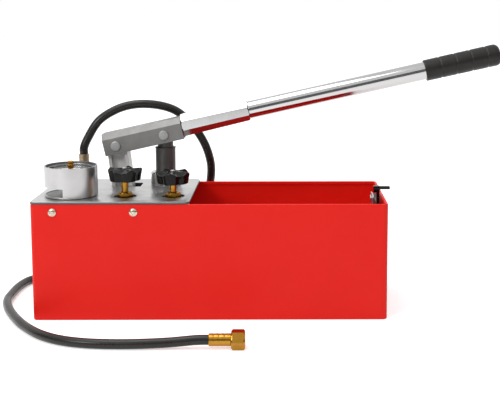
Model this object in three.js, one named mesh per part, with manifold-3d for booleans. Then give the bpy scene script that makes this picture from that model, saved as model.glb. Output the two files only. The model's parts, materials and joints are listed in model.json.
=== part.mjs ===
// Hydrostatic test pump: an open water tank with a hand pump on its head plate.
// Millimetres, +Z up, +X towards the end of the lever, +Y to the back.
// The origin is the centre of the tank's underside.

import * as THREE from 'three';
import { mergeVertices } from 'three/addons/utils/BufferGeometryUtils.js';
import Module from 'manifold-3d';

const wasm = await Module();
wasm.setup();

// Fits
const seat = 0.3; // gap between two pieces that rest on each other
const running = 0.3; // gap round a piece that turns or slides
const overrun = 1; // how far a cutter runs past the face it opens
const weld = 0.5; // how far one half of a casting runs into the other
const mergeTolerance = 1e-4;

// Tank
const tankLength = 464;
const tankDepth = 170;
const tankHeight = 154;
const tankSheet = 1.8;
const tankCornerRadius = 6;
const tankEdgeRadius = 1.5;
const hemHeight = 5; // the rim is folded inwards once

// Cover plate
const plateLength = 206;
const plateThickness = 3.2;
const plateCornerRadius = 8;
const glandHoleRadius = 15;
const tabWidth = 26;
const tabThickness = 2.5;
const tabHeight = 15.5;
const joggleHeight = 2;

// Stations on the cover plate, from its left edge and from its front or back edge
const gaugeFromLeft = 44.5;
const gaugeFromFront = 47;
const leftValveFromLeft = 117;
const rightValveFromLeft = 181;
const valvesFromFront = 41;
const plungerFromLeft = 161.5;
const leverFromBack = 46;
const footFromLeft = 105;
const outletFromLeft = 43;
const outletFromBack = 30;
const plateScrewsFromLeft = [29.3, 134];
const plateScrewBelowRim = 10.2;

// Pan head screws
const screwHeadRadius = 5.5;
const screwHeadHeight = 3;
const screwRimShare = 0.4;
const screwFaceShare = 0.6;
const screwShankRadius = 2.5;
const screwShankLength = 8;

// Valve block under the plate
const blockHeight = 36;
const railWidth = 36;
const outletArmWidth = 32;
const cylinderBossRadius = 27;
const neckRadius = 7.5;
const neckHeight = 6.5;
const portDepth = 16.5;
const capBossRadius = 11;
const capBossReach = 21;

// Delivery valve cap on the block's right end
const capAcrossFlats = 17;
const capHexHeight = 7;
const capThreadRadius = 5.5;
const capThreadLength = 10;

// Pump cylinder, its gland and packing
const plungerRadius = 14;
const cylinderWall = 4.7;
const cylinderFlangeRadius = 23;
const cylinderFlangeHeight = 4;
const spigotWall = 2.4;
const spigotHeight = 11;
const packingHeight = 5.8;
const glandRadius = 20;
const glandHeight = 17.7;
const glandChamfer = 1.6;

// Suction valve under the cylinder
const suctionBodyRadius = 18;
const suctionBodyHeight = 23.7;
const suctionSpigotHeight = 6;
const suctionBoreRadius = 4;
const suctionChamberRadius = 7.5;
const suctionBallRadius = 5.5;
const suctionBallLift = 3;
const suctionSeatHeight = 10;
const suctionTailRadius = 12;
const suctionTailHeight = 8;

// Suction strainer
const strainerRadius = 17;
const strainerHeight = 24.7;
const strainerClearance = 7.2; // above the bottom of the tank
const strainerWall = 1.5;
const strainerSlotWidth = 4;
const strainerSlotMargin = 4;
const strainerSlotPairs = 5;

// Shut-off valves
const spindleRadius = 4.5;
const spindleThreadRadius = 5.5;
const spindleThreadLength = 19.4;
const spindleTipRadius = 2.5;
const spindleTipLength = 2.3;
const discHeight = 4;
const discSocketDepth = 2.3;
const valveChamberDepth = 30;
const glandNutAcrossFlats = 17.7;
const glandNutHeight = 8.7;
const glandNutTop = 2.2;
const knobAbovePlate = 17.25;
const knobHeight = 14.5;
const knobMeanRadius = 19.9;
const knobLobe = 3.1;
const knobLobes = 5;
const knobSidesPerLobe = 6;
const knobBoreDepth = 10.5;
const knobScrewRadius = 2;
const knobScrewHeadRadius = 4.3;
const knobScrewHeadHeight = 2.4;
const knobScrewRimShare = 0.5;
const knobScrewFaceShare = 0.7;
const knobScrewGrip = 6;
const leftValveOpening = 3.75; // the left valve stands part open, the right one is shut

// Gauge guard
const guardRadius = 35;
const guardWall = 2;
const guardHeight = 40.2;
const guardWindowLow = 2.7;
const guardWindowHigh = 13.4;
const guardWindowStart = 115; // degrees, anticlockwise from +X
const guardWindowEnd = 261.5;

// Pressure gauge
const stemThreadRadius = 6.2;
const stemHexAcrossFlats = 19;
const stemHexHeight = 6;
const stemNeckRadius = 6;
const stemSpigotRadius = 5;
const stemSpigotReach = 1;
const caseAboveGuardFoot = 14.5;
const caseRadius = 31;
const caseHeight = 21.7;
const caseWall = 1.6;
const caseRimWall = 1.3;
const glassLedgeWidth = 1.1;
const glassBelowRim = 2.4;
const dialLedgeWidth = 1.4;
const dialBelowRim = 8.2;
const dialThickness = 0.8;
const glassThickness = 1.7;
const bezelWall = 1.1;
const bezelLipWidth = 4.4;
const bezelLipHeight = 1.5;
const bezelSkirtHeight = 8;
const movementRadius = 13;
const arborRadius = 1.2;
const pointerHubRadius = 3;
const pointerThickness = 1;
const pointerLength = 24;
const pointerTail = 8;
const pointerWidth = 2.4;
const pointerTipShare = 0.25;
const pointerRestAngle = 225; // degrees, anticlockwise from +X
const dragPointerThickness = 0.8;
const dragPointerTail = 4;
const dragPointerRestAngle = 212;
const dragKnobRadius = 4;
const dragKnobHeight = 10;
const dragKnobChamfer = 0.8;
const dragKnobFlutes = 12;
const dragKnobFluteRadius = 0.5;
const fluteSides = 4;

// Outlet and hose
const outletThreadRadius = 6.8;
const outletHexAcrossFlats = 19;
const outletHexHeight = 8;
const nippleRadius = 4.2;
const nippleLength = 24;
const ferruleRadius = 7.3;
const ferruleLength = 32.7;
const ferruleGrooveDepth = 0.7;
const ferruleGrooveWidth = 3;
const ferruleGrooves = 3;
const hoseRadius = 6.1;
const hoseSides = 10;
const hoseSteps = 44;
const endFerruleRadius = 7.6;
const endFerruleLength = 26.7;
const endNoseRadius = 7.4;
const endNoseLength = 4;
const endStemRadius = 5;
const unionAcrossFlats = 22;
const unionLength = 16.5;
const unionBoreRadius = 9.4;
const unionShoulder = 3;

// Link bracket and foot pin
const bracketWeb = 3;
const bracketLength = 54;
const bracketWidth = 46;
const earThickness = 3.5;
const earRadius = 10;
const footDrop = 25.5; // from the top of the plate to the foot pin
const footPinRadius = 4;

// Link
const linkWidth = 27.5;
const linkDepth = 28;
const linkEyeRadius = 12.5;
const linkFlange = 4.5;
const linkPocketDepth = 9;
const linkPocketMargin = 18;
const footTravel = 3.9; // sideways room for the foot pin, each way from the slot's middle
const footRise = 2.2;
const footSlotShift = -3.5;
const footSlotDrop = 1;
const footWall = 6;
const openingSideRoom = 6.65; // room each side of the link in the plate
const openingFromFoot = 1.9;
const openingCornerRadius = 3;

// Lever
const leverAngle = 12.66; // degrees above level
const pivotAbovePlate = 72.8;
const pinSpacing = 68.5;
const leverPinRadius = 5;
const pinHeadRadius = 6.75;
const pinHeadHeight = 2.5;
const pinFaceShare = 0.9;
const pinRimShare = 0.7;
const pinTail = 3;
const pinGrooveDepth = 1;
const clipThickness = 1.2;
const clipWidth = 3.2;
const clipGap = 3.4;
const headWidth = 40;
const headBelowPins = 11;
const headAbovePins = 19.3;
const headLeft = 17; // past the link pin
const headRight = 26.5; // past the plunger pin
const headChamfer = 8;
const headRoof = 5.8;
const headEndBlock = 12.5;
const channelSide = 0.5; // between the link and each cheek
const tongueRadius = 11;
const tongueBossRadius = 9.5;
const socketAxisAbovePins = 6.5;
const socketAcrossFlatsLeft = 31.2;
const socketAcrossFlatsRight = 27.4;
const socketLength = 95.5;
const socketSpigotRadius = 9;
const socketSpigotLength = 9;
const socketBoreDepth = 60;
const tubeRadius = 12.5;
const tubeWall = 2;
const tubeSpigotRadius = 10.2;
const tubeLength = 347; // from the socket's mouth to the tube's far end
const gripRadius = 14.8;
const gripFlareRadius = 15.4;
const gripLength = 107;
const gripEnd = 12.5;
const gripEndRounding = 5;
const gripGrooves = 4;
const gripGrooveSpacing = 22;
const gripGrooveWidth = 3;
const gripGrooveDepth = 0.9;

// Plunger
const plungerShoulderBelowPin = 18.8;
const plungerRoom = 31.3; // left in the cylinder under the plunger
const plungerLipHeight = 0.8;
const plungerLipReach = 0.7;

// Lever catch at the tank's right end
const catchPivotBeforeLever = 19;
const catchPivotBelowRim = 13;
const hookThickness = 4;
const hookEyeRadius = 7.5;
const hookArmBelow = 6;
const hookArmAbove = 4;
const hookReach = 50;
const hookNoseWidth = 7;
const hookNoseRise = 26;
const hookTabReach = 14;
const hookTabDrop = 4;
const catchPinRadius = 3;
const catchPinHeadRadius = 5;
const catchPinHeadHeight = 1.5;
const catchSpacerLength = 1.5;
const catchPlay = 0.4;
const catchEarThickness = 2;
const catchEarBelow = 22;
const catchEarAbove = 7.6;
const catchEarFront = 16;
const catchEarBack = 14;
const catchScrewSpread = 10;
const catchScrewDrop = 13;
const catchScrewShankLength = 5;

// Sides of round pieces
const ringSides = 32;
const gaugeSides = 22;
const roundSides = 18;
const mediumSides = 16;
const smallSides = 12;
const cornerSteps = 3;

// Levels and stations worked out from the sizes above
const plateLeft = -tankLength / 2;
const plateFront = -tankDepth / 2;
const plateRight = plateLeft + plateLength;
const plateBottom = tankHeight + seat;
const plateTop = plateBottom + plateThickness;
const blockTop = plateBottom - seat;
const blockBottom = blockTop - blockHeight;
const gaugeX = plateLeft + gaugeFromLeft;
const gaugeY = plateFront + gaugeFromFront;
const leftValveX = plateLeft + leftValveFromLeft;
const rightValveX = plateLeft + rightValveFromLeft;
const valveY = plateFront + valvesFromFront;
const plungerX = plateLeft + plungerFromLeft;
const leverY = -plateFront - leverFromBack;
const footX = plateLeft + footFromLeft;
const footZ = plateTop - footDrop;
const outletX = plateLeft + outletFromLeft;
const outletY = -plateFront - outletFromBack;
const pivotZ = plateTop + pivotAbovePlate;
const leverTilt = THREE.MathUtils.degToRad(leverAngle);
const linkTopX = plungerX - pinSpacing * Math.cos(leverTilt);
const linkTopZ = pivotZ - pinSpacing * Math.sin(leverTilt);
const linkLength = Math.hypot(linkTopX - footX, linkTopZ - footZ);
const linkLean = Math.atan2(footX - linkTopX, linkTopZ - footZ);
const cylinderBoreRadius = plungerRadius + running;
const cylinderRadius = cylinderBoreRadius + cylinderWall;
const spigotRadius = cylinderBoreRadius + spigotWall;
const spindleBoreRadius = spindleThreadRadius + running;
const valveChamberBottom = blockTop - valveChamberDepth;

// Materials
function finish(color, roughness, metalness) {
  return new THREE.MeshStandardMaterial({ color, roughness, metalness });
}

const redPaint = finish('#e4302a', 0.45, 0);
const galvanised = finish('#b4b4b4', 0.35, 0.9);
const castMetal = finish('#8f8e8c', 0.55, 0.7);
const greyPaint = finish('#7c7a79', 0.5, 0.3);
const chrome = finish('#d0d0d2', 0.15, 1);
const polishedSteel = finish('#b9b9ba', 0.3, 1);
const darkSteel = finish('#464442', 0.5, 0.6);
const brass = finish('#c08a30', 0.3, 1);
const yellowZinc = finish('#c4b078', 0.35, 0.9);
const blackPlastic = finish('#1c1a19', 0.35, 0);
const blackRubber = finish('#22201f', 0.7, 0);
const sealRubber = finish('#2c2a28', 0.8, 0);
const paperWhite = finish('#f1efe8', 0.7, 0);
const pointerBlack = finish('#161616', 0.5, 0);
const pointerRed = finish('#c8201c', 0.5, 0);
const clearGlass = finish('#dfe8ea', 0.05, 0);

// A closed mesh with shared vertices, no flat triangles and its faces pointing out
function closed(geometry) {
  const plain = geometry.clone();
  plain.deleteAttribute('normal');
  plain.deleteAttribute('uv');
  const merged = mergeVertices(plain, mergeTolerance);
  const corners = merged.index.array;
  const place = merged.attributes.position;
  const kept = [];
  let volume = 0;
  for (let i = 0; i < corners.length; i += 3) {
    const [a, b, c] = [corners[i], corners[i + 1], corners[i + 2]];
    if (a === b || b === c || c === a) continue;
    kept.push(a, b, c);
    const u = new THREE.Vector3().fromBufferAttribute(place, a);
    const v = new THREE.Vector3().fromBufferAttribute(place, b);
    const w = new THREE.Vector3().fromBufferAttribute(place, c);
    volume += u.dot(v.cross(w));
  }
  if (volume < 0) kept.reverse();
  merged.setIndex(kept);
  return merged;
}

function solid(geometry) {
  const mesh = closed(geometry);
  const vertProperties = new Float32Array(mesh.attributes.position.array);
  const triVerts = new Uint32Array(mesh.index.array);
  return new wasm.Manifold(new wasm.Mesh({ numProp: 3, vertProperties, triVerts }));
}

function geometryOf(manifold) {
  const mesh = manifold.getMesh();
  const geometry = new THREE.BufferGeometry();
  geometry.setAttribute('position', new THREE.BufferAttribute(mesh.vertProperties, 3));
  geometry.setIndex(new THREE.BufferAttribute(mesh.triVerts, 1));
  return geometry;
}

function cut(body, ...tools) {
  return geometryOf(tools.reduce((rest, tool) => rest.subtract(solid(tool)), solid(body)));
}

function join(body, ...others) {
  return geometryOf(others.reduce((whole, other) => whole.add(solid(other)), solid(body)));
}

function moved(geometry, x, y, z) {
  return geometry.translate(x, y, z);
}

// A revolved piece about Z from [radius, height] points
function revolve(points, sides = roundSides) {
  const profile = points.map(([radius, height]) => new THREE.Vector2(radius, height));
  return new THREE.LatheGeometry(profile, sides).rotateX(Math.PI / 2);
}

// The same, for a profile that closes on itself round a bore
function revolveRing(points, sides = roundSides) {
  return revolve([...points, points[0]], sides);
}

function cylinder(radius, bottom, top, sides = roundSides) {
  const height = top - bottom;
  const geometry = new THREE.CylinderGeometry(radius, radius, height, sides);
  return geometry.rotateX(Math.PI / 2).translate(0, 0, bottom + height / 2);
}

// A hexagon prism with two of its flats facing -Y and +Y
function hexagon(acrossFlats, bottom, top) {
  return cylinder(acrossFlats / Math.sqrt(3), bottom, top, 6).rotateZ(Math.PI / 6);
}

function box(x0, y0, z0, x1, y1, z1) {
  const geometry = new THREE.BoxGeometry(x1 - x0, y1 - y0, z1 - z0);
  return geometry.translate((x0 + x1) / 2, (y0 + y1) / 2, (z0 + z1) / 2);
}

// The points of an arc from one angle to another, ends included
function arc(x, y, radius, start, end, steps = cornerSteps) {
  const points = [];
  for (let i = 0; i <= steps; i += 1) {
    const angle = start + (end - start) * i / steps;
    points.push([x + radius * Math.cos(angle), y + radius * Math.sin(angle)]);
  }
  return points;
}

// A rectangle whose corners are rounded by radii[0..3], from the lower left anticlockwise
function roundedRectangle(x0, y0, x1, y1, radii) {
  const [a, b, c, d] = radii;
  const quarter = Math.PI / 2;
  return [
    ...arc(x0 + a, y0 + a, a, 2 * quarter, 3 * quarter),
    ...arc(x1 - b, y0 + b, b, 3 * quarter, 4 * quarter),
    ...arc(x1 - c, y1 - c, c, 0, quarter),
    ...arc(x0 + d, y1 - d, d, quarter, 2 * quarter),
  ];
}

function even(radius) {
  return [radius, radius, radius, radius];
}

function roundHole(x, y, radius, sides = roundSides) {
  return arc(x, y, radius, 0, 2 * Math.PI * (sides - 1) / sides, sides - 1);
}

// A flat shape from an outline's points and those of its holes
function flatShape(outline, holes = []) {
  const vectors = (points) => points.map(([x, y]) => new THREE.Vector2(x, y));
  const shape = new THREE.Shape(vectors(outline));
  shape.holes = holes.map((hole) => new THREE.Path(vectors(hole)));
  return shape;
}

function extrude(outline, bottom, top, holes = []) {
  const options = { depth: top - bottom, bevelEnabled: false };
  return new THREE.ExtrudeGeometry(flatShape(outline, holes), options).translate(0, 0, bottom);
}

// An outline drawn in Y and Z, extruded along X
function extrudeX(outline, left, right) {
  const toX = new THREE.Matrix4().makeBasis(
    new THREE.Vector3(0, 1, 0),
    new THREE.Vector3(0, 0, 1),
    new THREE.Vector3(1, 0, 0),
  );
  return extrude(outline, left, right).applyMatrix4(toX);
}

// An outline drawn in X and Z, extruded along Y
function extrudeY(outline, front, back) {
  return extrude(outline, -back, -front).rotateX(Math.PI / 2);
}

// A bar with round ends between two points of the plan
function obroundBar(ax, ay, bx, by, width, bottom, top) {
  const angle = Math.atan2(by - ay, bx - ax);
  const half = Math.PI / 2;
  return extrude([
    ...arc(bx, by, width / 2, angle - half, angle + half, roundSides / 2),
    ...arc(ax, ay, width / 2, angle + half, angle + 3 * half, roundSides / 2),
  ], bottom, top);
}

const part = new THREE.Group();

function add(name, geometry, material, group = part) {
  const mesh = new THREE.Mesh(closed(geometry), material);
  mesh.name = name;
  group.add(mesh);
  return mesh;
}

function station(x, y, z = 0, group = part) {
  const place = new THREE.Group();
  place.position.set(x, y, z);
  group.add(place);
  return place;
}

// Tank: a folded and welded sheet box whose rim is hemmed inwards
const plateScrewZ = tankHeight - plateScrewBelowRim;
const catchY = leverY - catchPivotBeforeLever;
const catchZ = tankHeight - catchPivotBelowRim;
const wallInside = tankLength / 2 - tankSheet;

function tankShell() {
  const halfLength = tankLength / 2;
  const halfDepth = tankDepth / 2;
  const corners = even(tankCornerRadius);
  const outline = roundedRectangle(-halfLength, -halfDepth, halfLength, halfDepth, corners);
  const shell = new THREE.ExtrudeGeometry(flatShape(outline), {
    depth: tankHeight - 2 * tankEdgeRadius,
    bevelThickness: tankEdgeRadius,
    bevelSize: tankEdgeRadius,
    bevelOffset: -tankEdgeRadius,
    bevelSegments: 1,
  }).translate(0, 0, tankEdgeRadius);
  const inside = (wall, bottom, top) => {
    const [x, y] = [halfLength - wall, halfDepth - wall];
    return extrude(roundedRectangle(-x, -y, x, y, even(tankCornerRadius - wall)), bottom, top);
  };
  const hemBottom = tankHeight - hemHeight;
  const screwHole = (from, to) => cylinder(screwShankRadius + running, from, to, smallSides);
  const tools = [
    inside(tankSheet, tankSheet, hemBottom),
    inside(2 * tankSheet, hemBottom - overrun, tankHeight + overrun),
  ];
  for (const fromLeft of plateScrewsFromLeft) {
    const hole = screwHole(-halfDepth - overrun, halfDepth + overrun).rotateX(Math.PI / 2);
    tools.push(moved(hole, plateLeft + fromLeft, 0, plateScrewZ));
  }
  for (const side of [-1, 1]) {
    const hole = screwHole(wallInside - overrun, halfLength + overrun).rotateY(Math.PI / 2);
    tools.push(moved(hole, 0, catchY + side * catchScrewSpread, catchZ - catchScrewDrop));
  }
  return cut(shell, ...tools);
}

add('tank', tankShell(), redPaint);

// Cover plate: bolted inside the tank's long walls by four joggled tabs
const openingHalfWidth = linkDepth / 2 + 2 * channelSide;
const openingMiddle = footX + openingFromFoot;
const openingHalfLength = linkWidth / 2 + openingSideRoom;

const linkOpening = roundedRectangle(
  openingMiddle - openingHalfLength,
  leverY - openingHalfWidth,
  openingMiddle + openingHalfLength,
  leverY + openingHalfWidth,
  even(openingCornerRadius),
);

function plateTab(side) {
  const face = tankDepth / 2 - 2 * tankSheet - seat;
  const foot = tankDepth / 2 - tankSheet - seat;
  const joggleTop = tankHeight - hemHeight - seat;
  const joggleBottom = joggleTop - joggleHeight;
  const low = tankHeight - tabHeight;
  const high = plateBottom + plateThickness / 2;
  const outline = [
    [side * face, high],
    [side * face, joggleTop],
    [side * foot, joggleBottom],
    [side * foot, low],
    [side * (foot - tabThickness), low],
    [side * (foot - tabThickness), joggleBottom],
    [side * (face - tabThickness), joggleTop],
    [side * (face - tabThickness), high],
  ];
  return extrudeX(outline, -tabWidth / 2, tabWidth / 2);
}

function coverPlate() {
  const radii = [tankCornerRadius, plateCornerRadius, plateCornerRadius, tankCornerRadius];
  const outline = roundedRectangle(plateLeft, plateFront, plateRight, -plateFront, radii);
  const openings = [
    roundHole(leftValveX, valveY, glandHoleRadius),
    roundHole(rightValveX, valveY, glandHoleRadius),
    roundHole(gaugeX, gaugeY, stemThreadRadius + running),
    roundHole(outletX, outletY, outletThreadRadius + running),
    roundHole(plungerX, leverY, spigotRadius + running),
    linkOpening,
  ];
  const plate = extrude(outline, plateBottom, plateTop, openings);
  const tabs = plateScrewsFromLeft.flatMap((fromLeft) =>
    [-1, 1].map((side) => moved(plateTab(side), plateLeft + fromLeft, 0, 0)));
  const holes = plateScrewsFromLeft.map((fromLeft) => {
    const hole = cylinder(screwShankRadius + running, plateFront, -plateFront, smallSides);
    return moved(hole.rotateX(Math.PI / 2), plateLeft + fromLeft, 0, plateScrewZ);
  });
  return cut(join(plate, ...tabs), ...holes);
}

add('cover_plate', coverPlate(), galvanised);

// A pan head screw: the head's seat is at z = 0 and the shank runs down
function panScrew(shankLength) {
  return revolve([
    [0, -shankLength],
    [screwShankRadius, -shankLength],
    [screwShankRadius, 0],
    [screwHeadRadius, 0],
    [screwHeadRadius, screwHeadHeight * screwRimShare],
    [screwHeadRadius * screwFaceShare, screwHeadHeight],
    [0, screwHeadHeight],
  ], smallSides);
}

function addPlateScrew(name, fromLeft, side) {
  const screw = add(name, panScrew(screwShankLength), yellowZinc);
  screw.position.set(plateLeft + fromLeft, side * (tankDepth / 2 + seat), plateScrewZ);
  screw.rotation.x = -side * Math.PI / 2;
}

addPlateScrew('plate_screw_front_left', plateScrewsFromLeft[0], -1);
addPlateScrew('plate_screw_front_right', plateScrewsFromLeft[1], -1);
addPlateScrew('plate_screw_rear_left', plateScrewsFromLeft[0], 1);
addPlateScrew('plate_screw_rear_right', plateScrewsFromLeft[1], 1);

// Valve block: a cast manifold under the plate that joins the ports
const capSeatX = rightValveX + capBossReach;
const capZ = blockBottom + blockHeight / 2;

function valveBlock() {
  const bar = (ax, ay, bx, by, width) => obroundBar(ax, ay, bx, by, width, blockBottom, blockTop);
  const neck = (x) => moved(cylinder(neckRadius, blockTop - weld, blockTop + neckHeight), x, valveY, 0);
  const openTop = blockTop + neckHeight + overrun;
  const port = (x, y, radius, depth) => moved(cylinder(radius, blockTop - depth, openTop), x, y, 0);
  const capBoss = cylinder(capBossRadius, rightValveX, capSeatX).rotateY(Math.PI / 2);
  const capPortEnd = capSeatX - capThreadLength - seat;
  const capPort = cylinder(capThreadRadius + running, capPortEnd, capSeatX + overrun, smallSides);
  const casting = join(
    bar(gaugeX, valveY, rightValveX, valveY, railWidth),
    bar(outletX, valveY, outletX, outletY, outletArmWidth),
    bar(plungerX, valveY, plungerX, leverY, railWidth),
    moved(cylinder(cylinderBossRadius, blockBottom, blockTop), plungerX, leverY, 0),
    moved(capBoss, 0, valveY, capZ),
    neck(leftValveX),
    neck(rightValveX),
  );
  return cut(
    casting,
    port(leftValveX, valveY, spindleBoreRadius, valveChamberDepth),
    port(rightValveX, valveY, spindleBoreRadius, valveChamberDepth),
    port(gaugeX, gaugeY, stemThreadRadius + running, portDepth),
    port(outletX, outletY, outletThreadRadius + running, portDepth),
    port(plungerX, leverY, cylinderRadius + running, blockHeight + overrun),
    port(plungerX, leverY, cylinderFlangeRadius + running, cylinderFlangeHeight + seat),
    moved(capPort.rotateY(Math.PI / 2), 0, valveY, capZ),
  );
}

add('valve_block', valveBlock(), castMetal);

function deliveryValveCap() {
  return join(
    hexagon(capAcrossFlats, 0, capHexHeight),
    cylinder(capThreadRadius, -capThreadLength, weld, smallSides),
  );
}

const deliveryCap = add('delivery_valve_cap', deliveryValveCap(), brass);
deliveryCap.position.set(capSeatX + seat, valveY, capZ);
deliveryCap.rotation.y = Math.PI / 2;

// Pump cylinder: hangs in the block by its flange, and the gland screws on its spigot
const strainerTop = tankSheet + strainerClearance + strainerHeight;
const cylinderBottom = strainerTop + seat + suctionBodyHeight + seat;
const spigotTop = blockTop + spigotHeight;
const glandBottom = plateTop + seat;
const glandTop = glandBottom + glandHeight;
const pumpStation = station(plungerX, leverY);

add('pump_cylinder', revolveRing([
  [cylinderBoreRadius, cylinderBottom],
  [cylinderRadius, cylinderBottom],
  [cylinderRadius, blockTop - cylinderFlangeHeight],
  [cylinderFlangeRadius, blockTop - cylinderFlangeHeight],
  [cylinderFlangeRadius, blockTop],
  [spigotRadius, blockTop],
  [spigotRadius, spigotTop],
  [cylinderBoreRadius, spigotTop],
]), polishedSteel, pumpStation);

const packingBottom = spigotTop + seat;
const packingTop = packingBottom + packingHeight;

add('gland_packing', revolveRing([
  [cylinderBoreRadius, packingBottom],
  [spigotRadius, packingBottom],
  [spigotRadius, packingTop],
  [cylinderBoreRadius, packingTop],
]), sealRubber, pumpStation);

add('cylinder_gland', revolveRing([
  [spigotRadius + seat, glandBottom],
  [glandRadius, glandBottom],
  [glandRadius, glandTop - glandChamfer],
  [glandRadius - glandChamfer, glandTop],
  [cylinderBoreRadius, glandTop],
  [cylinderBoreRadius, packingTop + seat],
  [spigotRadius + seat, packingTop + seat],
]), chrome, pumpStation);

// Suction valve: screwed into the cylinder's lower end, with a ball on a cone seat
const suctionTop = cylinderBottom - seat;
const suctionBottom = suctionTop - suctionBodyHeight;
const coneBottom = suctionBottom + suctionSeatHeight;
const coneTop = coneBottom + suctionChamberRadius - suctionBoreRadius;
const ballZ = coneBottom - suctionBoreRadius + (suctionBallRadius + running) * Math.SQRT2;
const chamberTop = ballZ + suctionBallRadius + suctionBallLift + running;
const tailBottom = suctionBottom - suctionTailHeight;

add('suction_valve', revolveRing([
  [suctionBoreRadius, tailBottom],
  [suctionTailRadius, tailBottom],
  [suctionTailRadius, suctionBottom],
  [suctionBodyRadius, suctionBottom],
  [suctionBodyRadius, suctionTop],
  [plungerRadius, suctionTop],
  [plungerRadius, suctionTop + suctionSpigotHeight],
  [suctionBoreRadius, suctionTop + suctionSpigotHeight],
  [suctionBoreRadius, chamberTop],
  [suctionChamberRadius, chamberTop],
  [suctionChamberRadius, coneTop],
  [suctionBoreRadius, coneBottom],
], smallSides), brass, pumpStation);

const suctionBall = new THREE.SphereGeometry(suctionBallRadius, smallSides, smallSides / 2);
add('suction_ball', suctionBall.rotateX(Math.PI / 2), polishedSteel, pumpStation).position.z = ballZ;

function suctionStrainer() {
  const top = strainerTop;
  const bottom = top - strainerHeight;
  const inside = strainerRadius - strainerWall;
  const cup = revolve([
    [0, bottom],
    [strainerRadius, bottom],
    [strainerRadius, top],
    [suctionTailRadius + seat, top],
    [suctionTailRadius + seat, top - strainerWall],
    [inside, top - strainerWall],
    [inside, bottom + strainerWall],
    [0, bottom + strainerWall],
  ], roundSides);
  const slots = [];
  for (let i = 0; i < strainerSlotPairs; i += 1) {
    const reach = strainerRadius + overrun;
    const half = strainerSlotWidth / 2;
    const [low, high] = [bottom + strainerSlotMargin, top - strainerSlotMargin];
    slots.push(box(-reach, -half, low, reach, half, high).rotateZ(i * Math.PI / strainerSlotPairs));
  }
  return cut(cup, ...slots);
}

add('suction_strainer', suctionStrainer(), galvanised, pumpStation);

// Shut-off valves: hand knob, spindle and gland nut on a neck of the block
const knobScrewHole = knobScrewRadius + running;
const spindleThreadBottom = valveChamberBottom + seat + discHeight + seat;
const knobBottom = plateTop + knobAbovePlate;
const spindleTop = knobBottom + knobBoreDepth - seat;
const knobTop = knobBottom + knobHeight;

// A closed skin over rings of points that are listed from the bottom up
function loft(rings) {
  const count = rings[0].length;
  const points = rings.flat();
  const centre = (ring) => ring
    .reduce((sum, point) => sum.add(point), new THREE.Vector3())
    .divideScalar(count);
  const low = points.push(centre(rings[0])) - 1;
  const high = points.push(centre(rings[rings.length - 1])) - 1;
  const last = (rings.length - 1) * count;
  const index = [];
  for (let i = 0; i < count; i += 1) {
    const next = (i + 1) % count;
    for (let ring = 0; ring < last; ring += count) {
      const [a, b, c, d] = [ring + i, ring + next, ring + count + next, ring + count + i];
      index.push(a, b, c, a, c, d);
    }
    index.push(low, next, i, high, last + i, last + next);
  }
  const geometry = new THREE.BufferGeometry().setFromPoints(points);
  geometry.setIndex(index);
  return geometry;
}

// Radius and height of the star knob's rings, as shares of its radius and height
const knobRingShares = [
  [0.62, 0], [0.9, 0.06], [1, 0.2], [1, 0.72], [0.94, 0.88], [0.78, 0.97], [0.5, 1],
];

function starKnob() {
  const sides = knobLobes * knobSidesPerLobe;
  const rings = knobRingShares.map(([radiusShare, heightShare]) => {
    const ring = [];
    for (let i = 0; i < sides; i += 1) {
      const angle = i / sides * 2 * Math.PI;
      const radius = (knobMeanRadius + knobLobe * Math.cos(knobLobes * angle)) * radiusShare;
      ring.push(new THREE.Vector3(
        radius * Math.cos(angle),
        radius * Math.sin(angle),
        knobBottom + knobHeight * heightShare,
      ));
    }
    return ring;
  });
  return cut(
    loft(rings),
    cylinder(spindleRadius + seat, knobBottom - overrun, knobBottom + knobBoreDepth, smallSides),
    cylinder(knobScrewHole, knobBottom, knobTop + overrun, smallSides),
  );
}

function glandNut() {
  const bottom = blockTop + seat;
  const top = bottom + glandNutHeight;
  return cut(
    hexagon(glandNutAcrossFlats, bottom, top),
    cylinder(neckRadius + seat, bottom - overrun, top - glandNutTop),
    cylinder(spindleRadius + running, bottom, top + overrun, smallSides),
  );
}

function spindle() {
  const tip = spindleThreadBottom - spindleTipLength;
  const threadTop = spindleThreadBottom + spindleThreadLength;
  return revolve([
    [0, tip],
    [spindleTipRadius, tip],
    [spindleTipRadius, spindleThreadBottom],
    [spindleThreadRadius, spindleThreadBottom],
    [spindleThreadRadius, threadTop],
    [spindleRadius, threadTop],
    [spindleRadius, spindleTop],
    [knobScrewHole, spindleTop],
    [knobScrewHole, spindleTop - knobScrewGrip - seat],
    [0, spindleTop - knobScrewGrip - seat],
  ], smallSides);
}

function valveDisc() {
  const bottom = valveChamberBottom + seat;
  const top = bottom + discHeight;
  return revolve([
    [0, bottom],
    [spindleThreadRadius, bottom],
    [spindleThreadRadius, top],
    [spindleTipRadius + running, top],
    [spindleTipRadius + running, top - discSocketDepth],
    [0, top - discSocketDepth],
  ], smallSides);
}

function knobScrew() {
  const headBottom = knobTop + seat;
  const headTop = headBottom + knobScrewHeadHeight;
  return revolve([
    [0, spindleTop - knobScrewGrip],
    [knobScrewRadius, spindleTop - knobScrewGrip],
    [knobScrewRadius, headBottom],
    [knobScrewHeadRadius, headBottom],
    [knobScrewHeadRadius, headBottom + knobScrewHeadHeight * knobScrewRimShare],
    [knobScrewHeadRadius * knobScrewFaceShare, headTop],
    [0, headTop],
  ], smallSides);
}

function addValve(side, x, opening, knobAngle) {
  const fixed = station(x, valveY);
  const lifted = station(x, valveY, opening);
  add(`${side}_gland_nut`, glandNut(), brass, fixed);
  add(`${side}_spindle`, spindle(), brass, lifted);
  add(`${side}_valve_disc`, valveDisc(), sealRubber, lifted);
  add(`${side}_star_knob`, starKnob(), blackPlastic, lifted).rotation.z = knobAngle;
  add(`${side}_knob_screw`, knobScrew(), chrome, lifted);
}

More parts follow.
